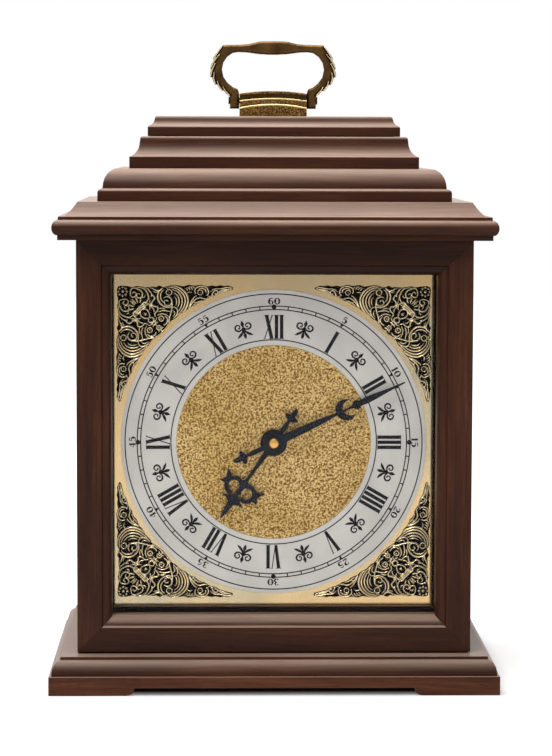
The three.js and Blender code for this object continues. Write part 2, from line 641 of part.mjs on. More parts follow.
function addRearDoor() {
  const panel = box([-halfWidth, rearDoorFront, doorBottom], [halfWidth, halfDepth, doorTop]);
  const knobX = -halfWidth + REAR_KNOB_EDGE_DISTANCE;
  const knobZ = (doorBottom + doorTop) / 2;
  const stemInDoor = REAR_DOOR_THICKNESS * 0.7;
  add(clock, 'rear_door', MAHOGANY, cut(panel,
    cornerWaste(rearPivotY, false, doorBottom - 1, doorTop + 1),
    pivotHole(rearPivotY, doorBottom - 1, doorBottom + PIVOT_IN_DOOR + CATCH_CLEARANCE),
    pivotHole(rearPivotY, doorTop - PIVOT_IN_DOOR - CATCH_CLEARANCE, doorTop + 1),
    rod('y', halfDepth - stemInDoor - CATCH_CLEARANCE, halfDepth + 1,
      REAR_KNOB_STEM_RADIUS + CATCH_CLEARANCE, [knobX, knobZ], 20)));

  const neck = REAR_KNOB_LENGTH * 0.35;
  const profile = [[0, -stemInDoor], [REAR_KNOB_STEM_RADIUS, -stemInDoor], [REAR_KNOB_STEM_RADIUS, SEAT_GAP],
    [REAR_KNOB_RADIUS * 0.7, SEAT_GAP], [REAR_KNOB_RADIUS * 0.6, 1.4], [REAR_KNOB_RADIUS * 0.42, neck],
    [REAR_KNOB_RADIUS, REAR_KNOB_LENGTH * 0.6], [REAR_KNOB_RADIUS * 0.94, REAR_KNOB_LENGTH * 0.8],
    [REAR_KNOB_RADIUS * 0.6, REAR_KNOB_LENGTH * 0.95], [0, REAR_KNOB_LENGTH]];
  const lathe = new THREE.LatheGeometry(profile.map(([r, y]) => new THREE.Vector2(r, y)), 20);
  add(clock, 'rear_door_knob', BRASS, toSolid(lathe).translate([knobX, halfDepth, knobZ]));
}

function addPivots() {
  for (const [place, y] of [['door', frontPivotY], ['rear_door', rearPivotY]]) {
    add(clock, `${place}_pivot_bottom`, BRASS, rod('z', bodyBottom - PIVOT_IN_CASE + CATCH_CLEARANCE,
      doorBottom + PIVOT_IN_DOOR, PIVOT_RADIUS, [pivotX, y], 16));
    add(clock, `${place}_pivot_top`, BRASS, rod('z', doorTop - PIVOT_IN_DOOR,
      corniceBottom + PIVOT_IN_CASE - CATCH_CLEARANCE, PIVOT_RADIUS, [pivotX, y], 16));
  }
}

// ---------------------------------------------------------------- dial

const dial = new THREE.Group();
dial.position.set(0, dialFace, dialCentreZ);
clock.add(dial);

// Outline of the top right spandrel: a scalloped corner over the curve of the chapter ring
function spandrelSolid() {
  const curve = ringOuterRadius + SPANDREL_RING_GAP;
  const edge = ringOuterRadius + SPANDREL_OVERHANG - 2.5;
  const tipTurn = Math.asin((SPANDREL_TIP_OFFSET + 1.5) / curve);
  const body = new THREE.Shape();
  body.moveTo(SPANDREL_TIP_OFFSET, edge + 1.5);
  body.lineTo(edge, edge);
  body.lineTo(edge + 1.5, SPANDREL_TIP_OFFSET);
  body.absarc(0, 0, curve, tipTurn, Math.PI / 2 - tipTurn, false);
  const front = -PLATE_GAP - SPANDREL_THICKNESS;
  const lobes = [[edge - 4, edge - 4, 6.5], [edge - 17, edge - 5, 7], [edge - 33, edge - 8, 10],
    [edge - 47, edge - 3.5, 5.5], [edge - 56, edge - 2, 3.8]];
  let solid = plate(body, front, -PLATE_GAP, 10);
  for (const [x, z, radius] of lobes) {
    solid = solid.add(disc(radius, front, -PLATE_GAP, [x, z], 14));
    if (x !== z) solid = solid.add(disc(radius, front, -PLATE_GAP, [z, x], 14));
  }
  return solid;
}

function addDial() {
  const hole = BUSH_RADIUS + BUSH_HOLE_CLEARANCE;
  const [x, z] = [sightHalfWidth + DIAL_PLATE_SIDE_LAP, sightHalfHeight + DIAL_PLATE_END_LAP];
  add(dial, 'dial_plate', BRASS,
    box([-x, 0, -z], [x, DIAL_PLATE_THICKNESS, z]).subtract(disc(hole, -1, DIAL_PLATE_THICKNESS + 1)));
  add(dial, 'chapter_ring', SILVERED,
    annulus(ringOuterRadius, ringInnerRadius, -PLATE_GAP - RING_THICKNESS, -PLATE_GAP, [0, 0], 64));
  add(dial, 'dial_centre', MATTED_GOLD,
    annulus(ringInnerRadius - DIAL_CENTRE_GAP, hole, -PLATE_GAP - DIAL_CENTRE_THICKNESS, -PLATE_GAP, [0, 0], 48));
  const spandrel = spandrelSolid();
  add(dial, 'spandrel_top_right', BRASS, spandrel);
  add(dial, 'spandrel_top_left', BRASS, spandrel.mirror([1, 0, 0]));
  add(dial, 'spandrel_bottom_right', BRASS, spandrel.mirror([0, 0, 1]));
  add(dial, 'spandrel_bottom_left', BRASS, spandrel.mirror([1, 0, 0]).mirror([0, 0, 1]));
}

// ---------------------------------------------------------------- hands

// Hand pieces are drawn pointing up (across, along) and turned clockwise to the hour
function handPlate(points, rise) {
  const shape = outline(points.map(([along, across]) => [across, along]));
  return plate(shape, -rise, -rise + HAND_THICKNESS);
}

function handDisc(radius, along, across, rise) {
  return disc(radius, -rise, -rise + HAND_THICKNESS, [across, along]);
}

// A leaf with two barbs behind it, pointing away from the hand's tip
function handTail(boss, length, rise) {
  const barb = length - 6.5;
  return handPlate(mirrored([[-boss / 2, 1.5], [-boss - 1, 1.4], [-barb + 7, 1.7], [-barb + 2.6, 0.9],
    [-barb + 0.6, 4.3], [-barb - 0.6, 4.5], [-barb - 1.8, 1.6], [-barb - 4, 1.7], [-length, 0.6]]), rise);
}

// The end of one open curl, cut free of the stem beside it
function curlSlit(side, rise) {
  const [along, across] = [HOUR_CURL_DISTANCE, HOUR_CURL_OFFSET];
  const slit = [[along + 2, across - 2.6], [along + 3.2, across - 3.7], [along + 4.4, across - 2.8],
    [along + 5.3, across - 1.6], [along + 3, across - 1]];
  return plate(outline(slit.map(([a, b]) => [side * b, a])), -rise - 1, -rise + HAND_THICKNESS + 1);
}

function hourHand() {
  const rise = HOUR_HAND_RISE;
  const [curl, spread, barb] = [HOUR_CURL_DISTANCE, HOUR_CURL_OFFSET, HOUR_BARB_DISTANCE];
  const innerEdge = spread - HOUR_CURL_HOLE_RADIUS;
  const stem = handPlate(mirrored([[HOUR_BOSS_RADIUS / 2, 1.9], [HOUR_BOSS_RADIUS + 3, 1.5], [curl * 0.55, 1.1],
    [curl - HOUR_CURL_RADIUS - 1, 0.95], [curl - HOUR_CURL_RADIUS + 0.8, 3], [curl - 3, innerEdge + 1],
    [curl, innerEdge], [curl + 3, innerEdge - 0.3], [barb - 3.6, 1.8], [barb - 1.4, 5], [barb, 8.1],
    [barb + 0.6, 4.6], [barb + 1.8, 2], [barb + 4, 1.8], [barb + 8, 1.5], [HOUR_HAND_DRAWN_LENGTH, 0.4]]), rise);
  let hand = handTail(HOUR_BOSS_RADIUS, HOUR_TAIL_LENGTH, rise);
  for (const side of [-1, 1]) {
    const spurs = [[curl - 4.8, spread + 4.4], [curl - 6.7, spread + 9.3], [curl - 1.6, spread + 7],
      [curl + 2.1, spread + 9.1], [curl + 1.8, spread + 5.5]];
    const ring = handDisc(HOUR_CURL_RADIUS, curl, side * spread, rise);
    const hole = disc(HOUR_CURL_HOLE_RADIUS, -rise - 1, -rise + HAND_THICKNESS + 1, [side * spread, curl], 20);
    hand = join(hand, ring, handPlate(spurs.map(([a, b]) => [a, side * b]), rise)).subtract(hole);
  }
  hand = cut(hand, curlSlit(-1, rise), curlSlit(1, rise)).add(stem);
  const scale = (ringInnerRadius - HOUR_HAND_MARGIN) / HOUR_HAND_DRAWN_LENGTH;
  return hand.scale([scale, 1, scale]).add(handDisc(HOUR_BOSS_RADIUS, 0, 0, rise)).subtract(disc(HOUR_PIPE_RADIUS + ARBOR_FIT_CLEARANCE, -rise - 1, -rise + HAND_THICKNESS + 1));
}

function minuteHand() {
  const rise = MINUTE_HAND_RISE;
  const [moon, barb] = [MINUTE_CRESCENT_DISTANCE, MINUTE_BARB_DISTANCE];
  const back = moon - MINUTE_CRESCENT_RADIUS;
  const stem = handPlate(mirrored([[MINUTE_BOSS_RADIUS / 2, 2.4], [back * 0.4, 2.4], [back * 0.57, 2.2],
    [back * 0.78, 1.8], [back - 1.4, 1], [back + 1, 1], [moon + 1, 0.6], [barb - 3, 0.9], [barb, 3.2],
    [barb + 2.4, 1.8], [barb + 7, 2.1], [barb + 14, 1.7], [barb + 19, 1.2], [barb + 24.6, 0.8],
    [MINUTE_HAND_DRAWN_LENGTH, 0.4]]), rise);
  const hollow = disc(MINUTE_CRESCENT_HOLE_RADIUS, -rise - 1, -rise + HAND_THICKNESS + 1,
    [0, moon + MINUTE_CRESCENT_HOLE_SHIFT], 24);
  const mouth = plate(outline([[-9, moon + 4.9], [9, moon + 4.9], [9, moon + 9], [-9, moon + 9]]),
    -rise - 1, -rise + HAND_THICKNESS + 1);
  const crescent = cut(handDisc(MINUTE_CRESCENT_RADIUS, moon, 0, rise), hollow, mouth);
  const hand = join(crescent, stem, handTail(MINUTE_BOSS_RADIUS, MINUTE_TAIL_LENGTH, rise));
  const scale = (ringOuterRadius - MINUTE_HAND_MARGIN) / MINUTE_HAND_DRAWN_LENGTH;
  return hand.scale([scale, 1, scale]).add(handDisc(MINUTE_BOSS_RADIUS, 0, 0, rise)).subtract(disc(MINUTE_ARBOR_RADIUS + ARBOR_FIT_CLEARANCE, -rise - 1, -rise + HAND_THICKNESS + 1));
}

// Clockwise from twelve, seen from the front
function clockwise(solid, degrees) {
  return solid.rotate([0, degrees, 0]);
}

function addHands() {
  add(dial, 'hour_hand', BLUED_STEEL, clockwise(hourHand(), HOUR_HAND_ANGLE));
  add(dial, 'minute_hand', BLUED_STEEL, clockwise(minuteHand(), MINUTE_HAND_ANGLE));
  const back = -MINUTE_HAND_RISE - PLATE_GAP;
  const front = back - HAND_NUT_HEIGHT;
  const dome = new THREE.LatheGeometry([[0, 0], [HAND_NUT_RADIUS, 0], [HAND_NUT_RADIUS, 1.3],
    [HAND_NUT_RADIUS * 0.8, 2.2], [0, HAND_NUT_HEIGHT]].map(([r, y]) => new THREE.Vector2(r, y)), 24);
  const nut = toSolid(dome.rotateX(Math.PI).translate(0, back, 0));
  add(dial, 'hand_nut', BRASS, nut.subtract(
    disc(MINUTE_ARBOR_RADIUS + ARBOR_FIT_CLEARANCE, front + HAND_NUT_HEIGHT - HAND_NUT_BORE_DEPTH, 1)));
}

// ---------------------------------------------------------------- wheels

const TURN = 2 * Math.PI;

// Tooth outline of a wheel whose first tooth points at the given bearing, in radians
function toothedOutline(teeth, module, bearing, centre) {
  const pitchRadius = teeth * module / 2;
  const tip = pitchRadius + TOOTH_ADDENDUM * module;
  const root = pitchRadius - TOOTH_DEDENDUM * module;
  const corners = [[root, -TOOTH_ROOT_SHARE / 2], [tip, -TOOTH_TIP_SHARE / 2],
    [tip, TOOTH_TIP_SHARE / 2], [root, TOOTH_ROOT_SHARE / 2]];
  const points = [];
  for (let tooth = 0; tooth < teeth; tooth += 1) {
    for (const [radius, share] of corners) {
      const turn = bearing + (tooth + share) * TURN / teeth;
      points.push([centre[0] + radius * Math.cos(turn), centre[1] + radius * Math.sin(turn)]);
    }
  }
  return outline(points);
}

function toothedWheel(teeth, module, bearing, centre, y0, y1) {
  return plate(toothedOutline(teeth, module, bearing, centre), y0, y1);
}

// Centre of a wheel that meshes with another, from its bearing in degrees
function meshCentre(from, bearing, teethA, teethB, module) {
  const distance = (teethA + teethB) * module / 2;
  const turn = THREE.MathUtils.degToRad(bearing);
  return [from[0] + distance * Math.cos(turn), from[1] + distance * Math.sin(turn)];
}

// Bearing of the first tooth of the second wheel, so that its teeth stand in the first's gaps
function meshBearing(firstBearing, teethA, teethB, bearing) {
  const turn = THREE.MathUtils.degToRad(bearing);
  const offset = (firstBearing - turn) * teethA / TURN;
  return turn + Math.PI - (offset + 0.5) * TURN / teethB;
}

const centre = [0, 0];
const motion = meshCentre(centre, MOTION_WHEEL_BEARING, CANNON_PINION_TEETH, MOTION_WHEEL_TEETH, MOTION_WHEEL_MODULE);
const motionDistance = Math.hypot(...motion);
const hourWheelModule = 2 * motionDistance / (MOTION_PINION_TEETH + HOUR_WHEEL_TEETH);
const setting = meshCentre(motion, SETTING_BEARING, MOTION_WHEEL_TEETH, CANNON_PINION_TEETH, MOTION_WHEEL_MODULE);
const third = meshCentre(centre, THIRD_WHEEL_BEARING, CENTRE_WHEEL_TEETH, SMALL_PINION_TEETH, CENTRE_WHEEL_MODULE);
const second = meshCentre(third, SECOND_WHEEL_BEARING, THIRD_WHEEL_TEETH, SMALL_PINION_TEETH, THIRD_WHEEL_MODULE);
const step = meshCentre(second, STEP_WHEEL_BEARING, SECOND_WHEEL_TEETH, SMALL_PINION_TEETH, SECOND_WHEEL_MODULE);
const rotor = meshCentre(step, ROTOR_BEARING, STEP_WHEEL_TEETH, SMALL_PINION_TEETH, STEP_WHEEL_MODULE);

// Depths behind the dial plate face
const caseNear = DIAL_PLATE_THICKNESS + SEAT_GAP;
const cavityNear = caseNear + MOVEMENT_WALL;
const caseFar = caseNear + MOVEMENT_DEPTH;
const cavityFar = caseFar - MOVEMENT_WALL;
const hourLevel = cavityNear + 0.5;
const motionLevel = hourLevel + PINION_LENGTH;
const centreLevel = motionLevel + PINION_LENGTH;
const thirdLevel = centreLevel + PINION_LENGTH;
const secondLevel = thirdLevel + PINION_LENGTH;
const stepLevel = secondLevel + PINION_LENGTH;
const rotorLevel = stepLevel + PINION_LENGTH + 0.2;

// A pinion that overlaps its mate's thickness at each side, on a level
function pinion(teeth, module, bearing, at, level) {
  return toothedWheel(teeth, module, bearing, at, level - 0.2, level + WHEEL_THICKNESS + 0.2);
}

// An arbor whose ends run in the front wall and in the cover
function wheelArbor(at) {
  return disc(WHEEL_ARBOR_RADIUS, cavityNear - MOVEMENT_WALL + WHEEL_END_PLAY + 0.5,
    cavityFar + MOVEMENT_WALL - WHEEL_END_PLAY - 0.5, at, 12);
}

function pivotHoles(solid, places) {
  return places.reduce((rest, at) => rest.subtract(
    disc(PIVOT_HOLE_RADIUS, cavityNear - MOVEMENT_WALL + 0.5, cavityFar + MOVEMENT_WALL - 0.5, at, 12)), solid);
}

function addMotionWork() {
  const arborFront = -MINUTE_HAND_RISE - PLATE_GAP - HAND_NUT_BORE_DEPTH + 0.3;
  const cannon = toothedWheel(CANNON_PINION_TEETH, MOTION_WHEEL_MODULE, 0, centre,
    motionLevel - 0.2, motionLevel + WHEEL_THICKNESS + 0.2);
  const centreWheel = toothedWheel(CENTRE_WHEEL_TEETH, CENTRE_WHEEL_MODULE, 0, centre,
    centreLevel, centreLevel + WHEEL_THICKNESS);
  const arbor = disc(MINUTE_ARBOR_RADIUS, arborFront, centreLevel + WHEEL_THICKNESS + 0.5, centre, 20);
  add(dial, 'centre_arbor', BRASS, join(arbor, cannon, centreWheel,
    disc(WHEEL_ARBOR_RADIUS, centreLevel, cavityFar + MOVEMENT_WALL - WHEEL_END_PLAY - 0.5, centre, 12)));

  const motionBearing = meshBearing(0, CANNON_PINION_TEETH, MOTION_WHEEL_TEETH, MOTION_WHEEL_BEARING);
  add(dial, 'motion_wheel', WHITE_PLASTIC, join(
    toothedWheel(MOTION_WHEEL_TEETH, MOTION_WHEEL_MODULE, motionBearing, motion,
      motionLevel, motionLevel + WHEEL_THICKNESS),
    toothedWheel(MOTION_PINION_TEETH, hourWheelModule, 0, motion, hourLevel - 0.2, motionLevel + 0.2),
    wheelArbor(motion)));

  const hourBearing = meshBearing(0, MOTION_PINION_TEETH, HOUR_WHEEL_TEETH, MOTION_WHEEL_BEARING + 180);
  const pipeFront = -HOUR_HAND_RISE;
  const hourSolid = join(
    toothedWheel(HOUR_WHEEL_TEETH, hourWheelModule, hourBearing, centre, hourLevel, hourLevel + WHEEL_THICKNESS),
    disc(HOUR_PIPE_RADIUS, pipeFront, hourLevel + WHEEL_THICKNESS, centre, 24));
  add(dial, 'hour_wheel', WHITE_PLASTIC, hourSolid.subtract(
    disc(HOUR_PIPE_BORE_RADIUS, pipeFront - 1, hourLevel + WHEEL_THICKNESS + 1, centre, 24)));

  const settingBearing = meshBearing(motionBearing, MOTION_WHEEL_TEETH, CANNON_PINION_TEETH, SETTING_BEARING);
  const knobFront = caseFar + 0.6;
  const grip = plate(knurledOutline(SETTING_KNOB_RADIUS, 18, setting), knobFront, knobFront + SETTING_KNOB_LENGTH);
  add(dial, 'setting_knob', BLACK_PLASTIC, join(grip,
    toothedWheel(CANNON_PINION_TEETH, MOTION_WHEEL_MODULE, settingBearing, setting,
      motionLevel - 0.2, motionLevel + WHEEL_THICKNESS + 0.2),
    disc(SETTING_SHAFT_RADIUS, motionLevel + WHEEL_THICKNESS, knobFront + 0.5, setting, 16)));
}

function knurledOutline(radius, ribs, at) {
  const points = [];
  for (let i = 0; i < 2 * ribs; i += 1) {
    const turn = i * Math.PI / ribs;
    const reach = i % 2 ? radius * 0.93 : radius;
    points.push([at[0] + reach * Math.cos(turn), at[1] + reach * Math.sin(turn)]);
  }
  return outline(points);
}

function addTrain() {
  const small = SMALL_PINION_TEETH;
  const thirdBearing = meshBearing(0, CENTRE_WHEEL_TEETH, small, THIRD_WHEEL_BEARING);
  add(dial, 'third_wheel', WHITE_PLASTIC, join(wheelArbor(third),
    pinion(small, CENTRE_WHEEL_MODULE, thirdBearing, third, centreLevel),
    toothedWheel(THIRD_WHEEL_TEETH, THIRD_WHEEL_MODULE, 0, third, thirdLevel, thirdLevel + WHEEL_THICKNESS)));
  const secondBearing = meshBearing(0, THIRD_WHEEL_TEETH, small, SECOND_WHEEL_BEARING);
  add(dial, 'second_wheel', WHITE_PLASTIC, join(wheelArbor(second),
    pinion(small, THIRD_WHEEL_MODULE, secondBearing, second, thirdLevel),
    toothedWheel(SECOND_WHEEL_TEETH, SECOND_WHEEL_MODULE, 0, second, secondLevel, secondLevel + WHEEL_THICKNESS)));
  const stepBearing = meshBearing(0, SECOND_WHEEL_TEETH, small, STEP_WHEEL_BEARING);
  add(dial, 'step_wheel', WHITE_PLASTIC, join(wheelArbor(step),
    pinion(small, SECOND_WHEEL_MODULE, stepBearing, step, secondLevel),
    toothedWheel(STEP_WHEEL_TEETH, STEP_WHEEL_MODULE, 0, step, stepLevel, stepLevel + WHEEL_THICKNESS)));
  const rotorBearing = meshBearing(0, STEP_WHEEL_TEETH, small, ROTOR_BEARING);
  add(dial, 'rotor', STEEL, join(wheelArbor(rotor),
    pinion(small, STEP_WHEEL_MODULE, rotorBearing, rotor, stepLevel),
    disc(ROTOR_RADIUS, rotorLevel, rotorLevel + ROTOR_LENGTH, rotor, 20)));
}

// ---------------------------------------------------------------- movement

const coilX0 = rotor[0] + STATOR_HEAD_REACH + COIL_RADIUS;
const coreEnd = coilX0 + COIL_LENGTH + 2;
const coreZ = rotor[1];
const statorLevel = rotorLevel + (ROTOR_LENGTH - STATOR_THICKNESS) / 2;
const batteryAxis = [cavityNear + BATTERY_RADIUS + 0.3, -(MOVEMENT_BOTTOM + MOVEMENT_SHELF) / 2];

function addMotor() {
  const level = statorLevel;
  const head = box([rotor[0] - STATOR_HEAD_REACH, level, coreZ - STATOR_HEAD_HALF_HEIGHT],
    [coilX0 - 1, level + STATOR_THICKNESS, coreZ + STATOR_HEAD_HALF_HEIGHT]);
  const core = box([coilX0 - 2, level, coreZ - STATOR_CORE_HALF],
    [coreEnd, level + STATOR_THICKNESS, coreZ + STATOR_CORE_HALF]);
  add(dial, 'stator', STEEL, join(head, core).subtract(
    disc(STATOR_HOLE_RADIUS, level - 1, level + STATOR_THICKNESS + 1, rotor, 24)));
  const middle = level + STATOR_THICKNESS / 2;
  const slot = COIL_BORE_HALF;
  add(dial, 'motor_coil', COPPER, rod('x', coilX0, coilX0 + COIL_LENGTH, COIL_RADIUS, [middle, coreZ], 20)
    .subtract(box([coilX0 - 1, middle - slot * 0.7, coreZ - slot],
      [coilX0 + COIL_LENGTH + 1, middle + slot * 0.7, coreZ + slot])));
}

function addMovementCase() {
  const [w, top, bottom] = [MOVEMENT_HALF_WIDTH, MOVEMENT_TOP, MOVEMENT_BOTTOM];
  const inner = w - MOVEMENT_WALL;
  const places = [motion, third, second, step, rotor];
  const shell = box([-w, caseNear, -bottom], [w, cavityFar - SEAT_GAP, top]);
  const wheels = box([-inner, cavityNear, -MOVEMENT_SHELF], [inner, caseFar, top - MOVEMENT_WALL]);
  const bay = box([-inner, cavityNear, -bottom + MOVEMENT_WALL], [inner, caseFar, -MOVEMENT_SHELF - MOVEMENT_WALL]);
  const bush = disc(BUSH_RADIUS, -BUSH_REACH, cavityNear, centre, 24);
  const board = { left: BOARD_LEFT, right: inner - 0.4, bottom: -MOVEMENT_SHELF + 0.4, top: BOARD_TOP };
  const post = (x, z, level) => disc(BOARD_POST_RADIUS, cavityNear - 0.5, level - SEAT_GAP, [x, z], 12);
  const posts = [
    post(coreEnd - 0.8, coreZ, statorLevel),
    post(rotor[0] - STATOR_HEAD_REACH + 1, coreZ + STATOR_HEAD_HALF_HEIGHT - 1.3, statorLevel),
    post(board.left + 2.5, board.top - 2.5, rotorLevel),
    post(board.right - 1.5, board.bottom + 1.8, rotorLevel),
  ];
  const housing = join(cut(join(shell, bush), wheels, bay), ...posts);
  add(dial, 'movement_housing', BLACK_PLASTIC, pivotHoles(
    housing.subtract(disc(BUSH_BORE_RADIUS, -BUSH_REACH - 1, cavityNear + 1, centre, 24)), places));
  const lid = box([-w, cavityFar, -MOVEMENT_SHELF - MOVEMENT_WALL], [w, caseFar, top]);
  add(dial, 'movement_cover', BLACK_PLASTIC, pivotHoles(lid, [centre, ...places]).subtract(
    disc(SETTING_SHAFT_RADIUS + SETTING_SHAFT_CLEARANCE, cavityFar - 1, caseFar + 1, setting, 20)));

  const nutRadius = NUT_ACROSS_FLATS / Math.sqrt(3);
  const nutBack = -PLATE_GAP - DIAL_CENTRE_THICKNESS - PLATE_GAP;
  add(dial, 'bush_nut', BRASS, disc(nutRadius, nutBack - NUT_THICKNESS, nutBack, centre, 6)
    .subtract(disc(BUSH_RADIUS + ARBOR_FIT_CLEARANCE, -NUT_THICKNESS - 5, 1)));

  const card = box([board.left, rotorLevel, board.bottom], [board.right, rotorLevel + BOARD_THICKNESS, board.top]);
  const [chipX, chipZ] = [BOARD_LEFT + 4, BOARD_TOP - 7 - CHIP_WIDTH];
  const chip = box([chipX, rotorLevel - CHIP_THICKNESS, chipZ], [chipX + CHIP_WIDTH, rotorLevel + 0.1, chipZ + CHIP_WIDTH]);
  const crystal = rod('z', chipZ - 1.5 - CRYSTAL_LENGTH, chipZ - 1.5, CRYSTAL_RADIUS,
    [chipX + 3.5, rotorLevel - 0.6 * CRYSTAL_RADIUS], 12);
  add(dial, 'circuit_board', GREEN_BOARD, join(card, chip, crystal));

  const cell = rod('x', -BATTERY_LENGTH / 2, BATTERY_LENGTH / 2 - BATTERY_BUTTON_LENGTH, BATTERY_RADIUS,
    batteryAxis, 28);
  const button = rod('x', BATTERY_LENGTH / 2 - BATTERY_BUTTON_LENGTH - 0.5, BATTERY_LENGTH / 2,
    BATTERY_BUTTON_RADIUS, batteryAxis, 16);
  add(dial, 'battery', BATTERY_JACKET, join(cell, button));
}

// ---------------------------------------------------------------- handle

const handle = new THREE.Group();
handle.position.set(0, 0, roofTop + SEAT_GAP);
clock.add(handle);

// A band of the saddle block with an arched top, of the given depth
function saddleBand(endHeight, crownHeight, depth) {
  const band = new THREE.Shape();
  band.moveTo(-HANDLE_BLOCK_HALF_LENGTH, 0);
  band.lineTo(HANDLE_BLOCK_HALF_LENGTH, 0);
  band.lineTo(HANDLE_BLOCK_HALF_LENGTH, endHeight);
  band.quadraticCurveTo(0, 2 * crownHeight - endHeight, -HANDLE_BLOCK_HALF_LENGTH, endHeight);
  return plate(band, -depth / 2, depth / 2, 12);
}

// Place on a circle round the middle of one end of the handle's opening
function roundOpening(radius, degrees) {
  const turn = THREE.MathUtils.degToRad(degrees);
  return [HANDLE_OPENING_OFFSET + radius * Math.cos(turn), HANDLE_OPENING_RISE + radius * Math.sin(turn)];
}

// Right half of the bail, as (x, height above the roof), down the outside and up the inside
function bailOutline() {
  const lugIn = HANDLE_BLOCK_HALF_LENGTH + HANDLE_LUG_GAP;
  const lugOut = lugIn + HANDLE_LUG_WIDTH;
  const lugFoot = HANDLE_PIVOT_RISE - HANDLE_LUG_REACH;
  const bar = HANDLE_RISE - HANDLE_BAR_SWELLING;
  const right = [[0, HANDLE_RISE], [9.2, HANDLE_RISE - 0.2], [11.2, HANDLE_RISE - 0.9], [15.1, bar + 0.4],
    [20.2, bar], [HANDLE_CORNER, bar - 0.3], [HANDLE_CORNER + 1.3, bar - 1.9]];
  for (let i = 0; i < FEATHER_COUNT; i += 1) {
    const reach = FEATHER_REACH - FEATHER_TAPER * Math.max(0, i - 2);
    const turn = FEATHER_FIRST_TURN - FEATHER_TURN * i;
    right.push(roundOpening(reach, turn), roundOpening(reach - FEATHER_DEPTH, turn - 2));
  }
  right.push([lugOut, lugFoot + 7.6], [lugOut, lugFoot], [lugIn, lugFoot], [lugIn, HANDLE_NECK_RISE - 3.4],
    [lugIn + 1, HANDLE_NECK_RISE]);
  for (let turn = -66; turn <= 78; turn += 18) right.push(roundOpening(HANDLE_OPENING_RADIUS, turn));
  const under = HANDLE_OPENING_RISE + HANDLE_OPENING_RADIUS - 0.4;
  right.push([HANDLE_OPENING_OFFSET - 4, under], [9.2, under - 1], [2.7, under - 1.4]);
  const left = right.slice(1).reverse().map(([x, z]) => [-x, z]);
  return outline([...right, ...left]);
}

function addHandle() {
  const block = join(...HANDLE_BLOCK_BANDS.map(([end, middle, less]) => (
    saddleBand(end, middle, HANDLE_BLOCK_DEPTH - less))));
  const crown = saddleBand(HANDLE_BLOCK_HEIGHT - HANDLE_CROWN_THICKNESS, HANDLE_BLOCK_HEIGHT, HANDLE_BLOCK_DEPTH - 6)
    .subtract(saddleBand(HANDLE_CROWN_FOOT, HANDLE_CROWN_FOOT + 1, HANDLE_BLOCK_DEPTH));
  const pinHole = (from, to, radius) => rod('x', from, to, radius, [0, HANDLE_PIVOT_RISE], 20);
  const drilled = HANDLE_BLOCK_HALF_LENGTH - HANDLE_PIN_IN_BLOCK;
  const loose = HANDLE_PIN_RADIUS + HANDLE_PIN_CLEARANCE;
  const ends = HANDLE_BLOCK_HALF_LENGTH + 1;
  add(handle, 'handle_block', ANTIQUE_BRASS,
    join(block, crown).subtract(pinHole(drilled, ends, loose)).subtract(pinHole(-ends, -drilled, loose)));
  const bail = plate(bailOutline(), -HANDLE_THICKNESS / 2, HANDLE_THICKNESS / 2);
  const lugOut = HANDLE_BLOCK_HALF_LENGTH + HANDLE_LUG_GAP + HANDLE_LUG_WIDTH;
  add(handle, 'handle_bail', ANTIQUE_BRASS, bail.subtract(pinHole(-lugOut - 1, lugOut + 1, loose)));
  const headFrom = lugOut + SEAT_GAP;
  const headTo = headFrom + HANDLE_PIN_HEAD_LENGTH;
  for (const [name, direction] of [['handle_pin_left', -1], ['handle_pin_right', 1]]) {
    const pin = join(pinHole(drilled + 0.3, headTo, HANDLE_PIN_RADIUS), pinHole(headFrom, headTo, HANDLE_PIN_HEAD_RADIUS));
    add(handle, name, ANTIQUE_BRASS, direction > 0 ? pin : pin.mirror([1, 0, 0]));
  }
}

addPlinth();
addBaseBoard();
addSides();
addRoof();
addFrontDoor();
addRearDoor();
addPivots();
addDial();
addHands();
addMotionWork();
addTrain();
addMotor();
addMovementCase();
addHandle();

export default clock;
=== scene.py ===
"""Bracket clock: materials, carving, dial print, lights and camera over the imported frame."""
import json
import math

import bmesh
import bpy
import numpy as np
from mathutils import Matrix, Vector

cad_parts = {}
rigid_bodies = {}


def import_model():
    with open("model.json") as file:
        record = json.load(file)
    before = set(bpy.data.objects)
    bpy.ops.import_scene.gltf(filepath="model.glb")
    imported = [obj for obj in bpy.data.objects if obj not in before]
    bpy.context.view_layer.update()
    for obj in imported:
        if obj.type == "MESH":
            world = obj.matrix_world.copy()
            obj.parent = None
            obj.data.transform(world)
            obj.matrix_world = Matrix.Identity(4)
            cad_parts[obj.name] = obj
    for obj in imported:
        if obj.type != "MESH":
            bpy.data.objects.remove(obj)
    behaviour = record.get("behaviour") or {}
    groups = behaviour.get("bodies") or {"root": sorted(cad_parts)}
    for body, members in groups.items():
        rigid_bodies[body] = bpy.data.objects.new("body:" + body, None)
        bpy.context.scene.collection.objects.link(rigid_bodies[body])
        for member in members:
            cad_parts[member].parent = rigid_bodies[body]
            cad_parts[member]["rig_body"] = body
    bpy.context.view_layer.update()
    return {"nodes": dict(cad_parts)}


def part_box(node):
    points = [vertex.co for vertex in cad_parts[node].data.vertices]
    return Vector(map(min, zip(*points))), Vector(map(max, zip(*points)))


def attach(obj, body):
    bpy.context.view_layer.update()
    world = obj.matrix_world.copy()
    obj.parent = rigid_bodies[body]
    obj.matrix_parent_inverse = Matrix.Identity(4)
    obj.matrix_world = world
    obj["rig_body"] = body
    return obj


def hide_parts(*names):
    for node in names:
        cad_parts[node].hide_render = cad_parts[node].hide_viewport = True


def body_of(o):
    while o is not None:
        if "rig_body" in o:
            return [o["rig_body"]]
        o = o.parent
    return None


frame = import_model()
nodes = frame["nodes"]
MM = 0.001
DIAL_Z = 148.95  # height of the dial's centre, in mm

# ---------------------------------------------------------------- shader nodes


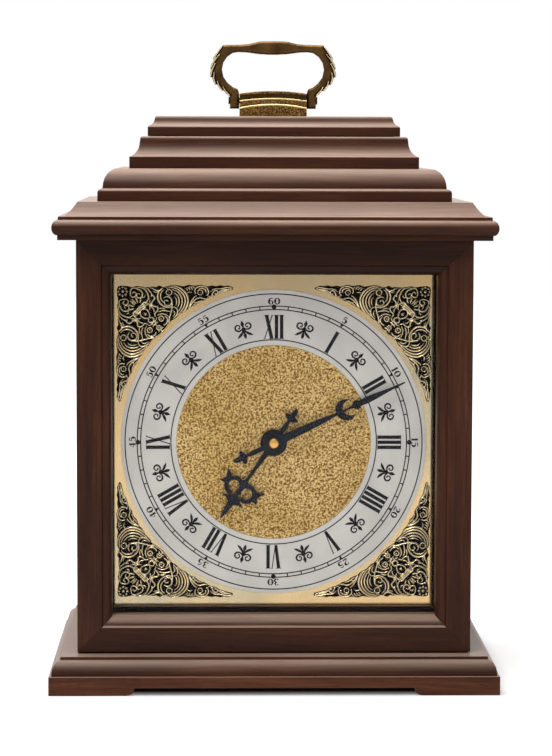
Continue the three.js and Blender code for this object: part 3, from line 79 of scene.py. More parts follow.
class Shader:
    """A material's node tree, written as nested calls."""

    def __init__(self, name):
        self.material = bpy.data.materials.new(name)
        self.material.use_nodes = True
        self.tree = self.material.node_tree
        self.tree.nodes.clear()
        self.out = self.tree.nodes.new("ShaderNodeOutputMaterial")
        self.coord = self.tree.nodes.new("ShaderNodeTexCoord").outputs["Object"]

    def node(self, kind, settings=None, **inputs):
        made = self.tree.nodes.new("ShaderNode" + kind)
        for key, value in (settings or {}).items():
            setattr(made, key, value)
        for key, value in inputs.items():
            numbered = key[0] == "i" and key[1:].isdigit()
            self.put(made.inputs[int(key[1:]) if numbered else key.replace("_", " ")], value)
        return made

    def put(self, socket, value):
        if isinstance(value, bpy.types.NodeSocket):
            self.tree.links.new(value, socket)
        elif isinstance(value, (tuple, list)) and len(value) == 3 and socket.type == "RGBA":
            socket.default_value = (*value, 1)
        else:
            socket.default_value = value

    def math(self, operation, a, b=0.0, clamp=False):
        return self.node("Math", {"operation": operation, "use_clamp": clamp}, i0=a, i1=b).outputs[0]

    def add(self, a, b, clamp=False):
        return self.math("ADD", a, b, clamp)

    def times(self, a, b):
        return self.math("MULTIPLY", a, b)

    def split(self, vector=None):
        return self.node("SeparateXYZ", Vector=vector or self.coord).outputs

    def join(self, x, y, z):
        return self.node("CombineXYZ", X=x, Y=y, Z=z).outputs[0]

    def scaled(self, scale, vector=None):
        return self.node("Mapping", Vector=vector or self.coord, Scale=scale).outputs[0]

    def noise(self, scale, detail=2.0, roughness=0.5, vector=None, distortion=0.0):
        return self.node("TexNoise", Vector=vector or self.coord, Scale=scale, Detail=detail, Roughness=roughness,
                         Distortion=distortion).outputs["Fac"]

    def ramp(self, fac, stops):
        made = self.node("ValToRGB", Fac=fac)
        elements = made.color_ramp.elements
        while len(elements) < len(stops):
            elements.new(0.5)
        for element, (place, colour) in zip(elements, stops):
            element.position = place
            element.color = (colour,) * 3 + (1,) if isinstance(colour, float) else (*colour, 1)
        return made.outputs["Color"]

    def mix(self, fac, a, b):
        made = self.node("Mix", {"data_type": "RGBA"})
        for socket, value in zip((made.inputs[0], made.inputs[6], made.inputs[7]), (fac, a, b)):
            self.put(socket, value)
        return made.outputs[2]

    def bump(self, height, strength, distance):
        return self.node("Bump", Strength=strength, Distance=distance, Height=height).outputs[0]

    def round_dial(self):
        """The direction round the dial's axis, for metal brushed in circles."""
        return self.node("Tangent", {"direction_type": "RADIAL", "axis": "Y"}).outputs[0]

    def surface(self, **inputs):
        shader = self.node("BsdfPrincipled", **inputs)
        self.tree.links.new(shader.outputs[0], self.out.inputs[0])
        return self.material


def srgb(r, g, b):
    """An 8-bit display colour as the linear values that shaders take."""
    return tuple((c / 255 / 12.92) if c < 10 else ((c / 255 + 0.055) / 1.055) ** 2.4 for c in (r, g, b))


# ---------------------------------------------------------------- materials


# Wood from dark to light, its pores, and the pale painted highlight on what faces up
WOOD_TONES = ((0.019, 0.0050, 0.0023), (0.048, 0.0155, 0.0072), (0.102, 0.0360, 0.0175))
PORE = (0.006, 0.0025, 0.002)
UPWARD_HIGHLIGHT = (0.46, 0.318, 0.243)


def mahogany(grain, tone=1.0, gloss=0.11):
    """Dark stained mahogany under satin lacquer; grain is its fibres' axis, or "board" for a moulded board."""
    s = Shader(f"mahogany_{grain}_{tone:g}")
    x, y, z = s.split()
    if grain == "board":  # the fibres follow each edge round
        normal = s.split(s.node("NewGeometry").outputs["True Normal"])
        on_side = s.math("GREATER_THAN", s.math("ABSOLUTE", normal[0]), s.math("ABSOLUTE", normal[1]))
        on_front = s.math("SUBTRACT", 1.0, on_side)
        along = s.add(s.times(y, on_side), s.times(x, on_front))
        across = s.add(s.times(x, on_side), s.times(y, on_front))
        place = s.join(along, across, z)
    else:
        place = s.join(*{"x": (x, y, z), "y": (y, x, z), "z": (z, x, y)}[grain])
    waver = s.noise(9.0, 2.0, vector=place)
    sway = s.join(0.0, s.times(waver, 0.006), s.times(waver, 0.008))
    place = s.node("VectorMath", {"operation": "ADD"}, i0=place, i1=sway).outputs[0]
    figure = s.noise(1.0, 3.0, 0.55, s.scaled((7, 70, 70), place))
    streak = s.noise(1.0, 3.0, 0.6, s.scaled((22, 620, 620), place))
    pores = s.noise(1.0, 2.0, 0.6, s.scaled((150, 2400, 2400), place))
    cloud = s.noise(14.0, 3.0, 0.6)
    shade = s.add(s.times(figure, 0.62), s.times(streak, 0.38))
    dark, mid, light = (tuple(c * tone for c in colour) for colour in WOOD_TONES)
    colour = s.ramp(shade, [(0.3, dark), (0.5, mid), (0.72, light)])
    clouded = s.times(s.ramp(cloud, [(0.45, 0.0), (0.7, 1.0)]), 0.35)
    colour = s.mix(clouded, colour, tuple(c * 0.55 for c in mid))
    pore = s.ramp(pores, [(0.3, 1.0), (0.4, 0.0)])
    colour = s.mix(s.times(pore, 0.6), colour, PORE)
    # painted highlight: faces that point up are mixed towards a pale colour, as if lit from above
    facing_up = s.ramp(s.split(s.node("NewGeometry").outputs["Normal"])[2], [(0.12, 0.0), (0.9, 1.0)])
    painted_highlight = s.times(facing_up, s.add(0.2, s.times(s.add(cloud, streak), 0.32)))
    colour = s.mix(painted_highlight, colour, UPWARD_HIGHLIGHT)
    rough = s.add(0.29, s.times(cloud, 0.12))
    normal = s.bump(s.add(s.times(streak, 0.5), s.times(pore, -0.5)), 0.32, 0.00012)
    return s.surface(Base_Color=colour, Roughness=rough, Normal=normal, Specular_IOR_Level=gloss)


def beech():
    s = Shader("beech")
    grain = s.noise(1.0, 3.0, 0.6, s.scaled((600, 600, 14)))
    fleck = s.ramp(s.noise(1.0, 1.0, 0.5, s.scaled((1400, 1400, 160))), [(0.62, 0.0), (0.7, 0.6)])
    colour = s.ramp(grain, [(0.3, srgb(150, 112, 74)), (0.7, srgb(196, 158, 112))])
    return s.surface(Base_Color=s.mix(fleck, colour, srgb(120, 82, 50)), Roughness=0.55,
                     Normal=s.bump(grain, 0.2, 0.0001))


def polished_brass():
    s = Shader("polished_brass")
    wear = s.noise(60.0, 4.0, 0.6)
    hair = s.noise(1.0, 2.0, 0.6, s.scaled((160, 3000, 3000)))
    tarnish = s.ramp(s.noise(9.0, 2.0, 0.5), [(0.4, 0.0), (0.62, 1.0)])
    colour = s.ramp(wear, [(0.3, srgb(160, 149, 122)), (0.7, srgb(180, 167, 138))])
    return s.surface(Base_Color=s.mix(tarnish, colour, srgb(196, 166, 118)), Metallic=1.0,
                     Roughness=s.add(0.03, s.times(s.add(wear, hair), 0.04)), Normal=s.bump(hair, 0.03, 0.00005))


def turned_brass():
    s = Shader("turned_brass")
    rings = s.noise(1.0, 2.0, 0.6, s.scaled((200, 4000, 200)))
    colour = s.ramp(s.noise(90.0, 3.0), [(0.3, srgb(196, 150, 78)), (0.7, srgb(226, 184, 108))])
    return s.surface(Base_Color=colour, Metallic=1.0, Roughness=s.add(0.16, s.times(rings, 0.12)),
                     Normal=s.bump(rings, 0.06, 0.00005))


def silvered():
    """Silvered ring, brushed round its centre, with broad soft sectors."""
    s = Shader("silvered")
    x, _, z = s.split()
    up = s.math("SUBTRACT", z, DIAL_Z * MM)
    radius = s.math("SQRT", s.add(s.times(x, x), s.times(up, up)))
    turn = s.math("ARCTAN2", up, x)
    brush = s.noise(1.0, 4.0, 0.7, s.join(s.times(radius, 5200.0), s.times(turn, 3.0), 0.0))
    cloud = s.noise(45.0, 3.0, 0.5)
    tint = s.add(s.times(brush, 0.45), s.times(cloud, 0.55))
    colour = s.ramp(tint, [(0.3, srgb(186, 183, 179)), (0.7, srgb(212, 209, 203))])
    rough = s.add(0.33, s.times(brush, 0.14))
    return s.surface(Base_Color=colour, Metallic=0.6, Roughness=rough, Anisotropic=0.5, Tangent=s.round_dial(),
                     Normal=s.bump(brush, 0.08, 0.00004))


def matted_gold():
    """Gilt ground covered with fine worm-like matting."""
    s = Shader("matted_gold")
    flat = s.scaled((1, 0.02, 1))
    grain = s.noise(900.0, 1.0, 0.4, flat, distortion=0.8)
    mark = s.ramp(grain, [(0.43, 1.0), (0.56, 0.0)])
    cloud = s.noise(26.0, 3.0, 0.5)
    ground = s.ramp(cloud, [(0.3, srgb(204, 170, 100)), (0.7, srgb(230, 200, 138))])
    colour = s.mix(mark, ground, srgb(126, 88, 22))
    rough = s.add(0.4, s.times(mark, 0.2))
    return s.surface(Base_Color=colour, Metallic=0.65, Roughness=rough, Anisotropic=0.4, Tangent=s.round_dial(),
                     Normal=s.bump(mark, 0.25, 0.00008))


def antiqued_relief(name, low, high, ground, ridge):
    """Cast brass, black in its hollows at the depth low and rubbed bright on its ridges at the depth high."""
    s = Shader(name)
    depth = s.math("DIVIDE", s.math("SUBTRACT", s.split()[1], low), high - low, clamp=True)
    speck = s.noise(1500.0, 2.0, 0.6)
    worn = s.add(depth, s.times(s.math("SUBTRACT", speck, 0.5), 0.05))
    colour = s.ramp(worn, [(0.36, ground), (0.46, tuple(c * 0.5 for c in ridge)), (0.58, ridge)])
    metal = s.ramp(worn, [(0.4, 0.0), (0.56, 1.0)])
    return s.surface(Base_Color=colour, Metallic=metal, Roughness=s.ramp(worn, [(0.3, 0.6), (0.7, 0.2)]),
                     Specular_IOR_Level=s.ramp(worn, [(0.45, 0.06), (0.6, 0.5)]),
                     Normal=s.bump(speck, 0.06, 0.00004))


CAST_TONES = (srgb(60, 42, 21), srgb(92, 67, 34))
RUBBED_TONES = (srgb(164, 138, 88), srgb(202, 178, 130))
GROOVE_TONES = (srgb(44, 30, 14), srgb(66, 46, 20))


def antique_brass(name, tones=CAST_TONES, proud=0.0, stipple=0.0):
    """Antiqued brass, pitted by stipple metres and pale where it is rubbed, proud metres in front of its middle."""
    s = Shader(name)
    speck = s.noise(1100.0, 3.0, 0.6)
    cloud = s.noise(110.0, 3.0, 0.6)
    colour = s.ramp(cloud, [(0.3, tones[0]), (0.7, tones[1])])
    normal = s.bump(speck, 0.15, 0.00006)
    if stipple:
        pit = s.ramp(s.noise(1350.0, 1.0, 0.5), [(0.46, 1.0), (0.56, 0.0)])
        colour = s.mix(s.times(pit, 0.85), s.mix(0.3, colour, srgb(196, 150, 76)), srgb(34, 20, 8))
        normal = s.bump(s.times(pit, -1.0), 0.6, stipple)
    if proud:
        depth = s.math("DIVIDE", s.math("ABSOLUTE", s.split()[1]), proud)
        uneven = s.times(s.math("SUBTRACT", speck, 0.5), 0.08)
        rubbed = s.ramp(s.add(depth, uneven), [(0.925, 0.0), (0.985, 1.0)])
        colour = s.mix(rubbed, colour, srgb(206, 190, 154))
    return s.surface(Base_Color=colour, Metallic=0.92, Roughness=s.add(0.28, s.times(speck, 0.2)), Normal=normal)


def blued_steel():
    s = Shader("blued_steel")
    cloud = s.noise(70.0, 3.0, 0.6)
    colour = s.ramp(cloud, [(0.35, srgb(11, 12, 17)), (0.7, srgb(22, 27, 42))])
    speck = s.noise(900.0, 2.0, 0.5)
    return s.surface(Base_Color=colour, Metallic=0.1, Roughness=s.add(0.3, s.times(cloud, 0.15)),
                     Specular_IOR_Level=0.2, Normal=s.bump(speck, 0.05, 0.00001))


def ink():
    s = Shader("dial_ink")
    speck = s.noise(1600.0, 2.0, 0.6)
    return s.surface(Base_Color=s.ramp(speck, [(0.3, srgb(16, 15, 17)), (0.75, srgb(32, 30, 32))]),
                     Roughness=s.add(0.5, s.times(speck, 0.2)), Specular_IOR_Level=0.15)


def plain(name, colours, scale, roughness, metallic, relief, stretch=(1, 1, 1)):
    """A moulded, wound or plated surface whose colour, gloss and grain come from one noise."""
    s = Shader(name)
    grain = s.noise(scale, 3.0, 0.6, s.scaled(stretch))
    return s.surface(Base_Color=s.ramp(grain, [(0.35, colours[0]), (0.65, colours[1])]), Metallic=metallic,
                     Roughness=s.add(roughness - 0.05, s.times(grain, 0.1)), Normal=s.bump(grain, 0.2, relief))


def pane():
    """Clear flat glass: nearly see-through, with a thin gloss that grows at a slant."""
    s = Shader("pane")
    slant = s.node("Fresnel", IOR=1.5).outputs[0]
    # from inside the sheet Fresnel gives total reflection, so the gloss counts on the way in only
    entering = s.math("SUBTRACT", 1.0, s.node("NewGeometry").outputs["Backfacing"])
    alpha = s.add(s.times(slant, s.times(entering, 0.9)), 0.015, clamp=True)
    rough = s.times(s.noise(12.0, 3.0, 0.6), 0.02)
    return s.surface(Base_Color=(0.02, 0.022, 0.022), Roughness=rough, Alpha=alpha, Specular_IOR_Level=1.0)


# Wood as the finish of its faces and that of its rounded, glossier edges; the edges' much lighter tone is a painted
# highlight along every edge, and stands for rubbing too
EDGE_GLOSS = 0.5
WOOD = {grain: (mahogany(grain), mahogany(grain, 4.0, EDGE_GLOSS)) for grain in ("x", "z", "board")}
# The plinth's wood is lighter, painted light as from the floor below, and the top rail's is darker, the cornice's
# shadow painted in
PLINTH_PAINTED_LIGHT = {grain: (mahogany(grain, 1.8), mahogany(grain, 5.0, EDGE_GLOSS)) for grain in ("x", "y")}
TOP_RAIL_PAINTED_SHADE = (mahogany("x", 0.6), WOOD["x"][1])
BEECH = beech()
BRASS = polished_brass()
TURNED = turned_brass()
STEEL = plain("plated_steel", (srgb(150, 150, 152), srgb(184, 184, 186)), 900.0, 0.3, 1.0, 0.00003)
BLACK_PLASTIC = plain("black_plastic", (srgb(22, 22, 24), srgb(34, 34, 36)), 1800.0, 0.5, 0.0, 0.00008)
WHITE_PLASTIC = plain("white_plastic", (srgb(206, 204, 196), srgb(226, 224, 216)), 500.0, 0.35, 0.0, 0.00003)
COPPER = plain("copper_winding", (srgb(120, 58, 28), srgb(196, 112, 62)), 1.0, 0.32, 0.85, 0.0001,
               (6500, 300, 300))
BOARD = plain("solder_mask", (srgb(18, 62, 34), srgb(34, 96, 54)), 260.0, 0.4, 0.0, 0.00004)
JACKET = plain("battery_jacket", (srgb(36, 34, 34), srgb(58, 54, 50)), 90.0, 0.3, 0.1, 0.00002)
HANDLE_BRASS = antique_brass("antique_brass")
STIPPLED_BRASS = antique_brass("stippled_brass", stipple=0.0002)
BLUED = blued_steel()
INK = ink()

# ---------------------------------------------------------------- meshes


def new_piece(name, vertices, faces, material, body, smooth=True):
    mesh = bpy.data.meshes.new(name)
    mesh.from_pydata([tuple(map(float, v)) for v in vertices], [], [tuple(map(int, f)) for f in faces])
    mesh.materials.append(material)
    if smooth:
        mesh.shade_smooth()
    mesh.update()
    piece = bpy.data.objects.new(name, mesh)
    bpy.context.scene.collection.objects.link(piece)
    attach(piece, body)
    return piece


SHARP = math.radians(32)  # edges that bend more than this stay edges


def on_mitre(normal, node):
    """True for the cut faces where two mouldings of a frame meet, at 45 degrees in the frame's plane."""
    x, y, z = (abs(part) for part in normal)
    if node.startswith("door_"):
        return abs(x - z) < 0.02 and y < 0.05
    return node.startswith("plinth_") and abs(x - y) < 0.02 and z < 0.05


def refined(node, material, edge):
    """The node's own shape with smooth curves and edges rounded by edge mm, standing for it.

    material is one finish, or that of the faces and that of the rounded edges.
    """
    finishes = material if isinstance(material, tuple) else (material,)
    source = nodes[node]
    mesh = source.data.copy()
    made = bmesh.new()
    made.from_mesh(mesh)
    bmesh.ops.remove_doubles(made, verts=made.verts, dist=0.00001)
    bmesh.ops.dissolve_limit(made, angle_limit=math.radians(1.0), verts=made.verts, edges=made.edges)
    if edge:
        corners = [e for e in made.edges if e.is_manifold and e.calc_face_angle(0) > SHARP
                   and not any(on_mitre(face.normal, node) for face in e.link_faces)]
        bmesh.ops.bevel(made, geom=corners, offset=edge * MM, offset_type="OFFSET", segments=2,
                        profile=0.5, affect="EDGES", clamp_overlap=True, material=len(finishes) - 1)
    for face in made.faces:
        face.smooth = True
    for e in made.edges:
        e.smooth = not e.is_manifold or e.calc_face_angle(0) < SHARP
    made.to_mesh(mesh)
    made.free()
    if "custom_normal" in mesh.attributes:
        mesh.attributes.remove(mesh.attributes["custom_normal"])
    mesh.materials.clear()
    for finish in finishes:
        mesh.materials.append(finish)
    piece = bpy.data.objects.new(f"{node}_finished", mesh)
    bpy.context.scene.collection.objects.link(piece)
    even = piece.modifiers.new("even_normals", "WEIGHTED_NORMAL")
    even.weight, even.keep_sharp = 100, True
    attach(piece, body_of(source)[0])
    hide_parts(node)


# ---------------------------------------------------------------- nodes that keep their shape

WOOD_EDGE, BEAD_EDGE = 0.45, 0.2
# Finish, slot, rounding of the edges in mm, and the nodes
FINISHES = (
    (WOOD["x"], "mahogany", WOOD_EDGE, ("door_rail_bottom",)),
    (WOOD["x"], "mahogany", BEAD_EDGE, ("glazing_bead_top", "glazing_bead_bottom")),
    (TOP_RAIL_PAINTED_SHADE, "mahogany", WOOD_EDGE, ("door_rail_top",)),
    (PLINTH_PAINTED_LIGHT["x"], "mahogany", WOOD_EDGE, ("plinth_front", "plinth_back")),
    (PLINTH_PAINTED_LIGHT["y"], "mahogany", WOOD_EDGE, ("plinth_left", "plinth_right")),
    (WOOD["z"], "mahogany", WOOD_EDGE, ("door_stile_left", "door_stile_right")),
    (WOOD["z"], "mahogany", WOOD_EDGE, ("side_left", "side_right", "rear_door")),
    (WOOD["z"], "mahogany", BEAD_EDGE, ("glazing_bead_left", "glazing_bead_right")),
    (WOOD["board"], "mahogany", WOOD_EDGE, ("base_board", "cornice_board")),
    (WOOD["board"], "mahogany", WOOD_EDGE, ("roof_step_lower", "roof_step_middle", "roof_step_upper")),
    (BEECH, "beech", 0.3, ("dial_batten_left", "dial_batten_right")),
    (BRASS, "brass", 0.15, ("dial_plate",)),
    (silvered(), "silvered_brass", 0.12, ("chapter_ring",)),
    (matted_gold(), "matted_gold", 0.08, ("dial_centre",)),
    (BLUED, "blued_steel", 0.12, ("hour_hand", "minute_hand")),
    (TURNED, "brass", 0.15, ("hand_nut", "bush_nut", "rear_door_knob")),
    (TURNED, "brass", 0.0, ("centre_arbor",)),
    (TURNED, "brass", 0.15, ("door_pivot_top", "door_pivot_bottom")),
    (TURNED, "brass", 0.15, ("rear_door_pivot_top", "rear_door_pivot_bottom")),
    (STEEL, "steel", 0.3, ("magnet_catch",)),
    (STEEL, "steel", 0.2, ("strike_plate",)),
    (STEEL, "steel", 0.05, ("stator",)),
    (STEEL, "steel", 0.0, ("rotor",)),
    (BLACK_PLASTIC, "black_plastic", 0.25, ("movement_housing",)),
    (BLACK_PLASTIC, "black_plastic", 0.3, ("movement_cover",)),
    (BLACK_PLASTIC, "black_plastic", 0.12, ("setting_knob",)),
    (WHITE_PLASTIC, "white_plastic", 0.0, ("hour_wheel", "motion_wheel")),
    (WHITE_PLASTIC, "white_plastic", 0.0, ("third_wheel", "second_wheel", "step_wheel")),
    (COPPER, "copper", 0.2, ("motor_coil",)),
    (BOARD, "circuit_board", 0.05, ("circuit_board",)),
    (JACKET, "battery_jacket", 0.5, ("battery",)),
    (pane(), "glass", 0.2, ("door_glass",)),
    (HANDLE_BRASS, "antique_brass", 0.2, ("handle_pin_left", "handle_pin_right")),
)
for material, slot, edge, names in FINISHES:
    for name in names:
        refined(name, material, edge)

# ---------------------------------------------------------------- dial print

INK_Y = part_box("chapter_ring")[0].y - 0.00002  # just clear of the ring's face


class Print:
    """Flat marks on the dial, in millimetres from its centre."""

    def __init__(self):
        self.vertices, self.faces = [], []

    def polygon(self, points):
        start = len(self.vertices)
        self.vertices += [(x * MM, INK_Y, (DIAL_Z + z) * MM) for x, z in points]
        self.faces.append(tuple(range(start, start + len(points))))

    def ribbon(self, points, widths, place=lambda x, z: (x, z)):
        """A pen stroke through points, whose width changes along it."""
        line = np.array(points, float)
        count = len(line)
        spread = np.interp(np.linspace(0, 1, count), np.linspace(0, 1, len(widths)), widths) / 2
        ahead = np.gradient(line, axis=0)
        ahead /= np.maximum(np.linalg.norm(ahead, axis=1), 1e-9)[:, None]
        side = np.stack([-ahead[:, 1], ahead[:, 0]], 1) * spread[:, None]
        start = len(self.vertices)
        for a, b in zip(line + side, line - side):
            for p in (a, b):
                x, z = place(*p)
                self.vertices.append((x * MM, INK_Y, (DIAL_Z + z) * MM))
        for i in range(count - 1):
            k = start + 2 * i
            self.faces.append((k, k + 1, k + 3, k + 2))

    def dot(self, x, z, radius, place):
        turns = np.linspace(0, 2 * math.pi, 21)[:-1]
        self.polygon([place(x + radius * math.cos(t), z + radius * math.sin(t)) for t in turns])

    def circle(self, radius, width):
        turns = np.linspace(0, 2 * math.pi, 361)
        self.ribbon([(radius * math.sin(t), radius * math.cos(t)) for t in turns], [width])


def smooth_line(points, steps=8):
    """A smooth curve through the points."""
    p = np.array(points, float)
    p = np.vstack([2 * p[0] - p[1], p, 2 * p[-1] - p[-2]])
    out = []
    for before, here, after, beyond in zip(p, p[1:], p[2:], p[3:]):
        for t in np.linspace(0, 1, steps, endpoint=False):
            out.append(0.5 * (2 * here + (after - before) * t
                              + (2 * before - 5 * here + 4 * after - beyond) * t ** 2
                              + (3 * here - before - 3 * after + beyond) * t ** 3))
    out.append(p[-2])
    return np.array(out)


def at_hour(degrees, radius):
    """Turns marks drawn upright round their own origin to a place on the dial."""
    turn = math.radians(degrees)
    c, s = math.cos(turn), math.sin(turn)
    return lambda x, z: (x * c + (z + radius) * s, -x * s + (z + radius) * c)


def oval(x, z, rx, rz):
    turns = np.radians(np.linspace(0, 360, 28))
    return [(x + rx * math.sin(t), z + rz * math.cos(t)) for t in turns]


def write(text, glyphs, gap, size, place):
    """Prints glyphs side by side, centred at place; each is its width and its strokes, as (points, widths)."""
    x = -(sum(glyphs[c][0] for c in text) + gap * (len(text) - 1)) / 2
    for character in text:
        width, strokes = glyphs[character]
        for points, widths in strokes:
            marks.ribbon([((x + a) * size, b * size) for a, b in points], [w * size for w in widths], place)
        x += width + gap


marks = Print()

# Radii in mm: the outer circle, the minute track's two and the inner circle
LINE = 0.7
TRACK_FOOT, TRACK_HEAD = 81.9, 84.05
WEDGE = ((-1.15, 84.2), (1.15, 84.2), (0.25, 81.8), (-0.25, 81.8))
for radius in (91.5, TRACK_HEAD, TRACK_FOOT, 63.3):
    marks.circle(radius, LINE)
for minute in range(60):
    place = at_hour(minute * 6, 0)
    if minute % 15 == 0:
        marks.dot(0, 83.6, 1.5, place)
    elif minute % 5 == 0:
        marks.polygon([place(x, z) for x, z in WEDGE])
    else:
        marks.ribbon([(0, TRACK_FOOT), (0, 84.0)], [LINE], place)

# Digits in a box 1 high
DIGITS = {
    "0": (0.86, [(oval(0.43, 0.5, 0.31, 0.45), [0.09, 0.32, 0.09, 0.32, 0.09])]),
    "1": (0.56, [([(0.3, 0.98), (0.3, 0.5), (0.3, 0.02)], [0.28]),
                 ([(0.08, 0.02), (0.52, 0.02)], [0.07]),
                 ([(0.3, 0.95), (0.1, 0.8)], [0.06, 0.1])]),
    "2": (0.8, [(smooth_line([(0.14, 0.74), (0.22, 0.9), (0.42, 0.96), (0.62, 0.86), (0.64, 0.66), (0.42, 0.4),
                              (0.12, 0.1)]), [0.22, 0.1, 0.12, 0.3, 0.28, 0.1, 0.08]),
                ([(0.08, 0.08), (0.72, 0.08)], [0.17]),
                ([(0.7, 0.04), (0.74, 0.26)], [0.08])]),
    "3": (0.78, [(smooth_line([(0.12, 0.84), (0.3, 0.96), (0.54, 0.92), (0.58, 0.7), (0.46, 0.56), (0.28, 0.53)]),
                  [0.2, 0.08, 0.12, 0.28, 0.12, 0.07]),
                 (smooth_line([(0.28, 0.53), (0.5, 0.5), (0.66, 0.32), (0.56, 0.1), (0.34, 0.03), (0.1, 0.16)]),
                  [0.07, 0.12, 0.3, 0.2, 0.08, 0.22])]),
    "4": (0.82, [([(0.5, 0.98), (0.06, 0.32)], [0.07]),
                 ([(0.05, 0.3), (0.78, 0.3)], [0.08]),
                 ([(0.54, 0.98), (0.54, 0.02)], [0.26]),
                 ([(0.34, 0.02), (0.72, 0.02)], [0.06])]),
    "5": (0.76, [([(0.16, 0.92), (0.62, 0.92)], [0.14]),
                 ([(0.18, 0.94), (0.14, 0.5)], [0.08]),
                 (smooth_line([(0.14, 0.5), (0.34, 0.62), (0.56, 0.54), (0.64, 0.32), (0.54, 0.1), (0.32, 0.03),
                               (0.1, 0.14)]), [0.07, 0.1, 0.26, 0.32, 0.2, 0.08, 0.2])]),
    "6": (0.84, [(smooth_line([(0.66, 0.86), (0.48, 0.97), (0.26, 0.84), (0.14, 0.5), (0.2, 0.16), (0.42, 0.04)]),
                  [0.18, 0.08, 0.2, 0.32, 0.22, 0.08]),
                 (oval(0.44, 0.3, 0.26, 0.26), [0.08, 0.26, 0.08, 0.2, 0.08])]),
}
DIGIT_HEIGHT, DIGIT_GAP, DIGIT_FOOT = 4.1, 0.1, 85.0
for step in range(1, 13):
    write(str(step * 5), DIGITS, DIGIT_GAP, DIGIT_HEIGHT, at_hour(step * 30, DIGIT_FOOT))

NUMERALS = ("I", "II", "III", "IIII", "V", "VI", "VII", "VIII", "IX", "X", "XI", "XII")
NUMERAL_FOOT, NUMERAL_HEIGHT, NUMERAL_GAP = 63.9, 14.7, 1.0
THICK, THIN, SERIF = 2.15, 0.6, 0.32
V_WIDTH, X_WIDTH = 5.6, 5.2
BASE, TOP = SERIF / 2, NUMERAL_HEIGHT - SERIF / 2


def letter(width, stems, serifs):
    """A letter in mm from its left foot: its stems as strokes, and its serifs as (from, to, height)."""
    return width, stems + [([(a, z), (b, z)], [SERIF]) for a, b, z in serifs]


LETTERS = {
    "I": letter(THICK, [([(THICK / 2, 0), (THICK / 2, NUMERAL_HEIGHT)], [THICK])],
                [(-0.5, THICK + 0.5, BASE), (-0.5, THICK + 0.5, TOP)]),
    "X": letter(X_WIDTH, [([(THICK / 2, NUMERAL_HEIGHT), (X_WIDTH - THICK / 2 + 0.3, 0)], [THICK]),
                          ([(X_WIDTH - 0.5, NUMERAL_HEIGHT), (0, 0)], [THIN])],
                [(-0.5, THICK + 0.6, TOP), (X_WIDTH - 1.2, X_WIDTH + 0.2, TOP),
                 (-0.7, 0.7, BASE), (X_WIDTH - THICK - 0.4, X_WIDTH + 0.7, BASE)]),
    "V": letter(V_WIDTH, [([(THICK / 2, NUMERAL_HEIGHT), (V_WIDTH / 2 + 0.1, 0.1)], [THICK, THICK * 0.85]),
                          ([(V_WIDTH - 0.4, NUMERAL_HEIGHT), (V_WIDTH / 2 + 0.4, 0.1)], [THIN])],
                [(-0.6, THICK + 0.6, TOP), (V_WIDTH - 1.1, V_WIDTH + 0.4, TOP)]),
}
for hour, text in enumerate(NUMERALS, 1):
    write(text, LETTERS, NUMERAL_GAP, 1.0, at_hour(hour * 30, NUMERAL_FOOT))

# The half-hour ornament, in mm from its knot: two leaves, and a curl and a prong on each side
LEAVES = (([(0, 0.8), (0, 2.6), (0, 4.2), (0, 5.7)], [0.8, 1.2, 2.3, 1.4, 0.15]),
          ([(0, -0.8), (0, -2.6), (0, -4.4), (0, -6.0)], [1.0, 1.1, 2.1, 1.7, 0.2]))
SPRAYS = (([(0.3, 0.5), (1.1, 0.2), (3.0, -0.35), (4.7, 0.7), (4.75, 2.4), (3.3, 3.4), (1.9, 2.6), (2.2, 1.3),
            (3.2, 1.1)], [0.8, 0.9, 1.15, 1.05, 0.85, 0.75, 1.0]),
          ([(0.4, -0.6), (1.4, -2.0), (2.9, -3.3), (5.0, -4.7)], [1.3, 1.2, 1.6, 1.5, 0.25]))
for half in range(12):
    place = at_hour(half * 30 + 15, 72.0)
    marks.dot(0, 0, 1.4, place)
    for points, widths in LEAVES:
        marks.ribbon(smooth_line(points), widths, place)
    for side in (-1, 1):
        for points, widths in SPRAYS:
            marks.ribbon([(side * a, b) for a, b in smooth_line(points)], widths, place)

new_piece("dial_print", marks.vertices, marks.faces, INK, "case", smooth=False)

# ---------------------------------------------------------------- carved reliefs


def outline_field(outline, x, z):
    """Distance inside a closed outline at every grid point, negative outside it."""
    inside = np.zeros(x.shape, bool)
    nearest = np.full(x.shape, 1e9)
    for (x0, z0), (x1, z1) in zip(outline, np.roll(outline, -1, axis=0)):
        dx, dz = x1 - x0, z1 - z0
        along = np.clip(((x - x0) * dx + (z - z0) * dz) / max(dx * dx + dz * dz, 1e-12), 0, 1)
        nearest = np.minimum(nearest, np.hypot(x - x0 - along * dx, z - z0 - along * dz))
        if abs(dz) > 1e-9:
            inside ^= ((z0 > z) != (z1 > z)) & (x < dx * (z - z0) / dz + x0)
    return np.where(inside, nearest, -nearest)


def outline_front(field, x, z, front):
    """The front of a relief where field > 0, at the depths in front, cut along its outline."""
    vertices, faces, known = [], [], {}

    def point(key, px, pz, depth):
        if key not in known:
            known[key] = len(vertices)
            vertices.append((px, depth, pz))
        return known[key]

    def crossing(a, b):
        t = field[a] / (field[a] - field[b])
        px, pz = x[a] + t * (x[b] - x[a]), z[a] + t * (z[b] - z[a])
        return point((min(a, b), max(a, b)), px, pz, front[a] + t * (front[b] - front[a]))

    touched = field > 0
    for i, j in zip(*np.nonzero(touched[:-1, :-1] | touched[1:, :-1] | touched[:-1, 1:] | touched[1:, 1:])):
        ring = ((i, j), (i, j + 1), (i + 1, j + 1), (i + 1, j))
        face = []
        for a, b in zip(ring, ring[1:] + ring[:1]):
            if touched[a]:
                face.append(point(a, x[a], z[a], front[a]))
            if touched[a] != touched[b]:
                face.append(crossing(a, b))
        faces.append(face)
    return vertices, faces


def open_edges(faces):
    """The edges that only one face has, in that face's direction."""
    edges = dict.fromkeys((a, b) for face in faces for a, b in zip(face, face[1:] + face[:1]))
    return [(a, b) for a, b in edges if (b, a) not in edges]


STAMP_STEP = 0.12


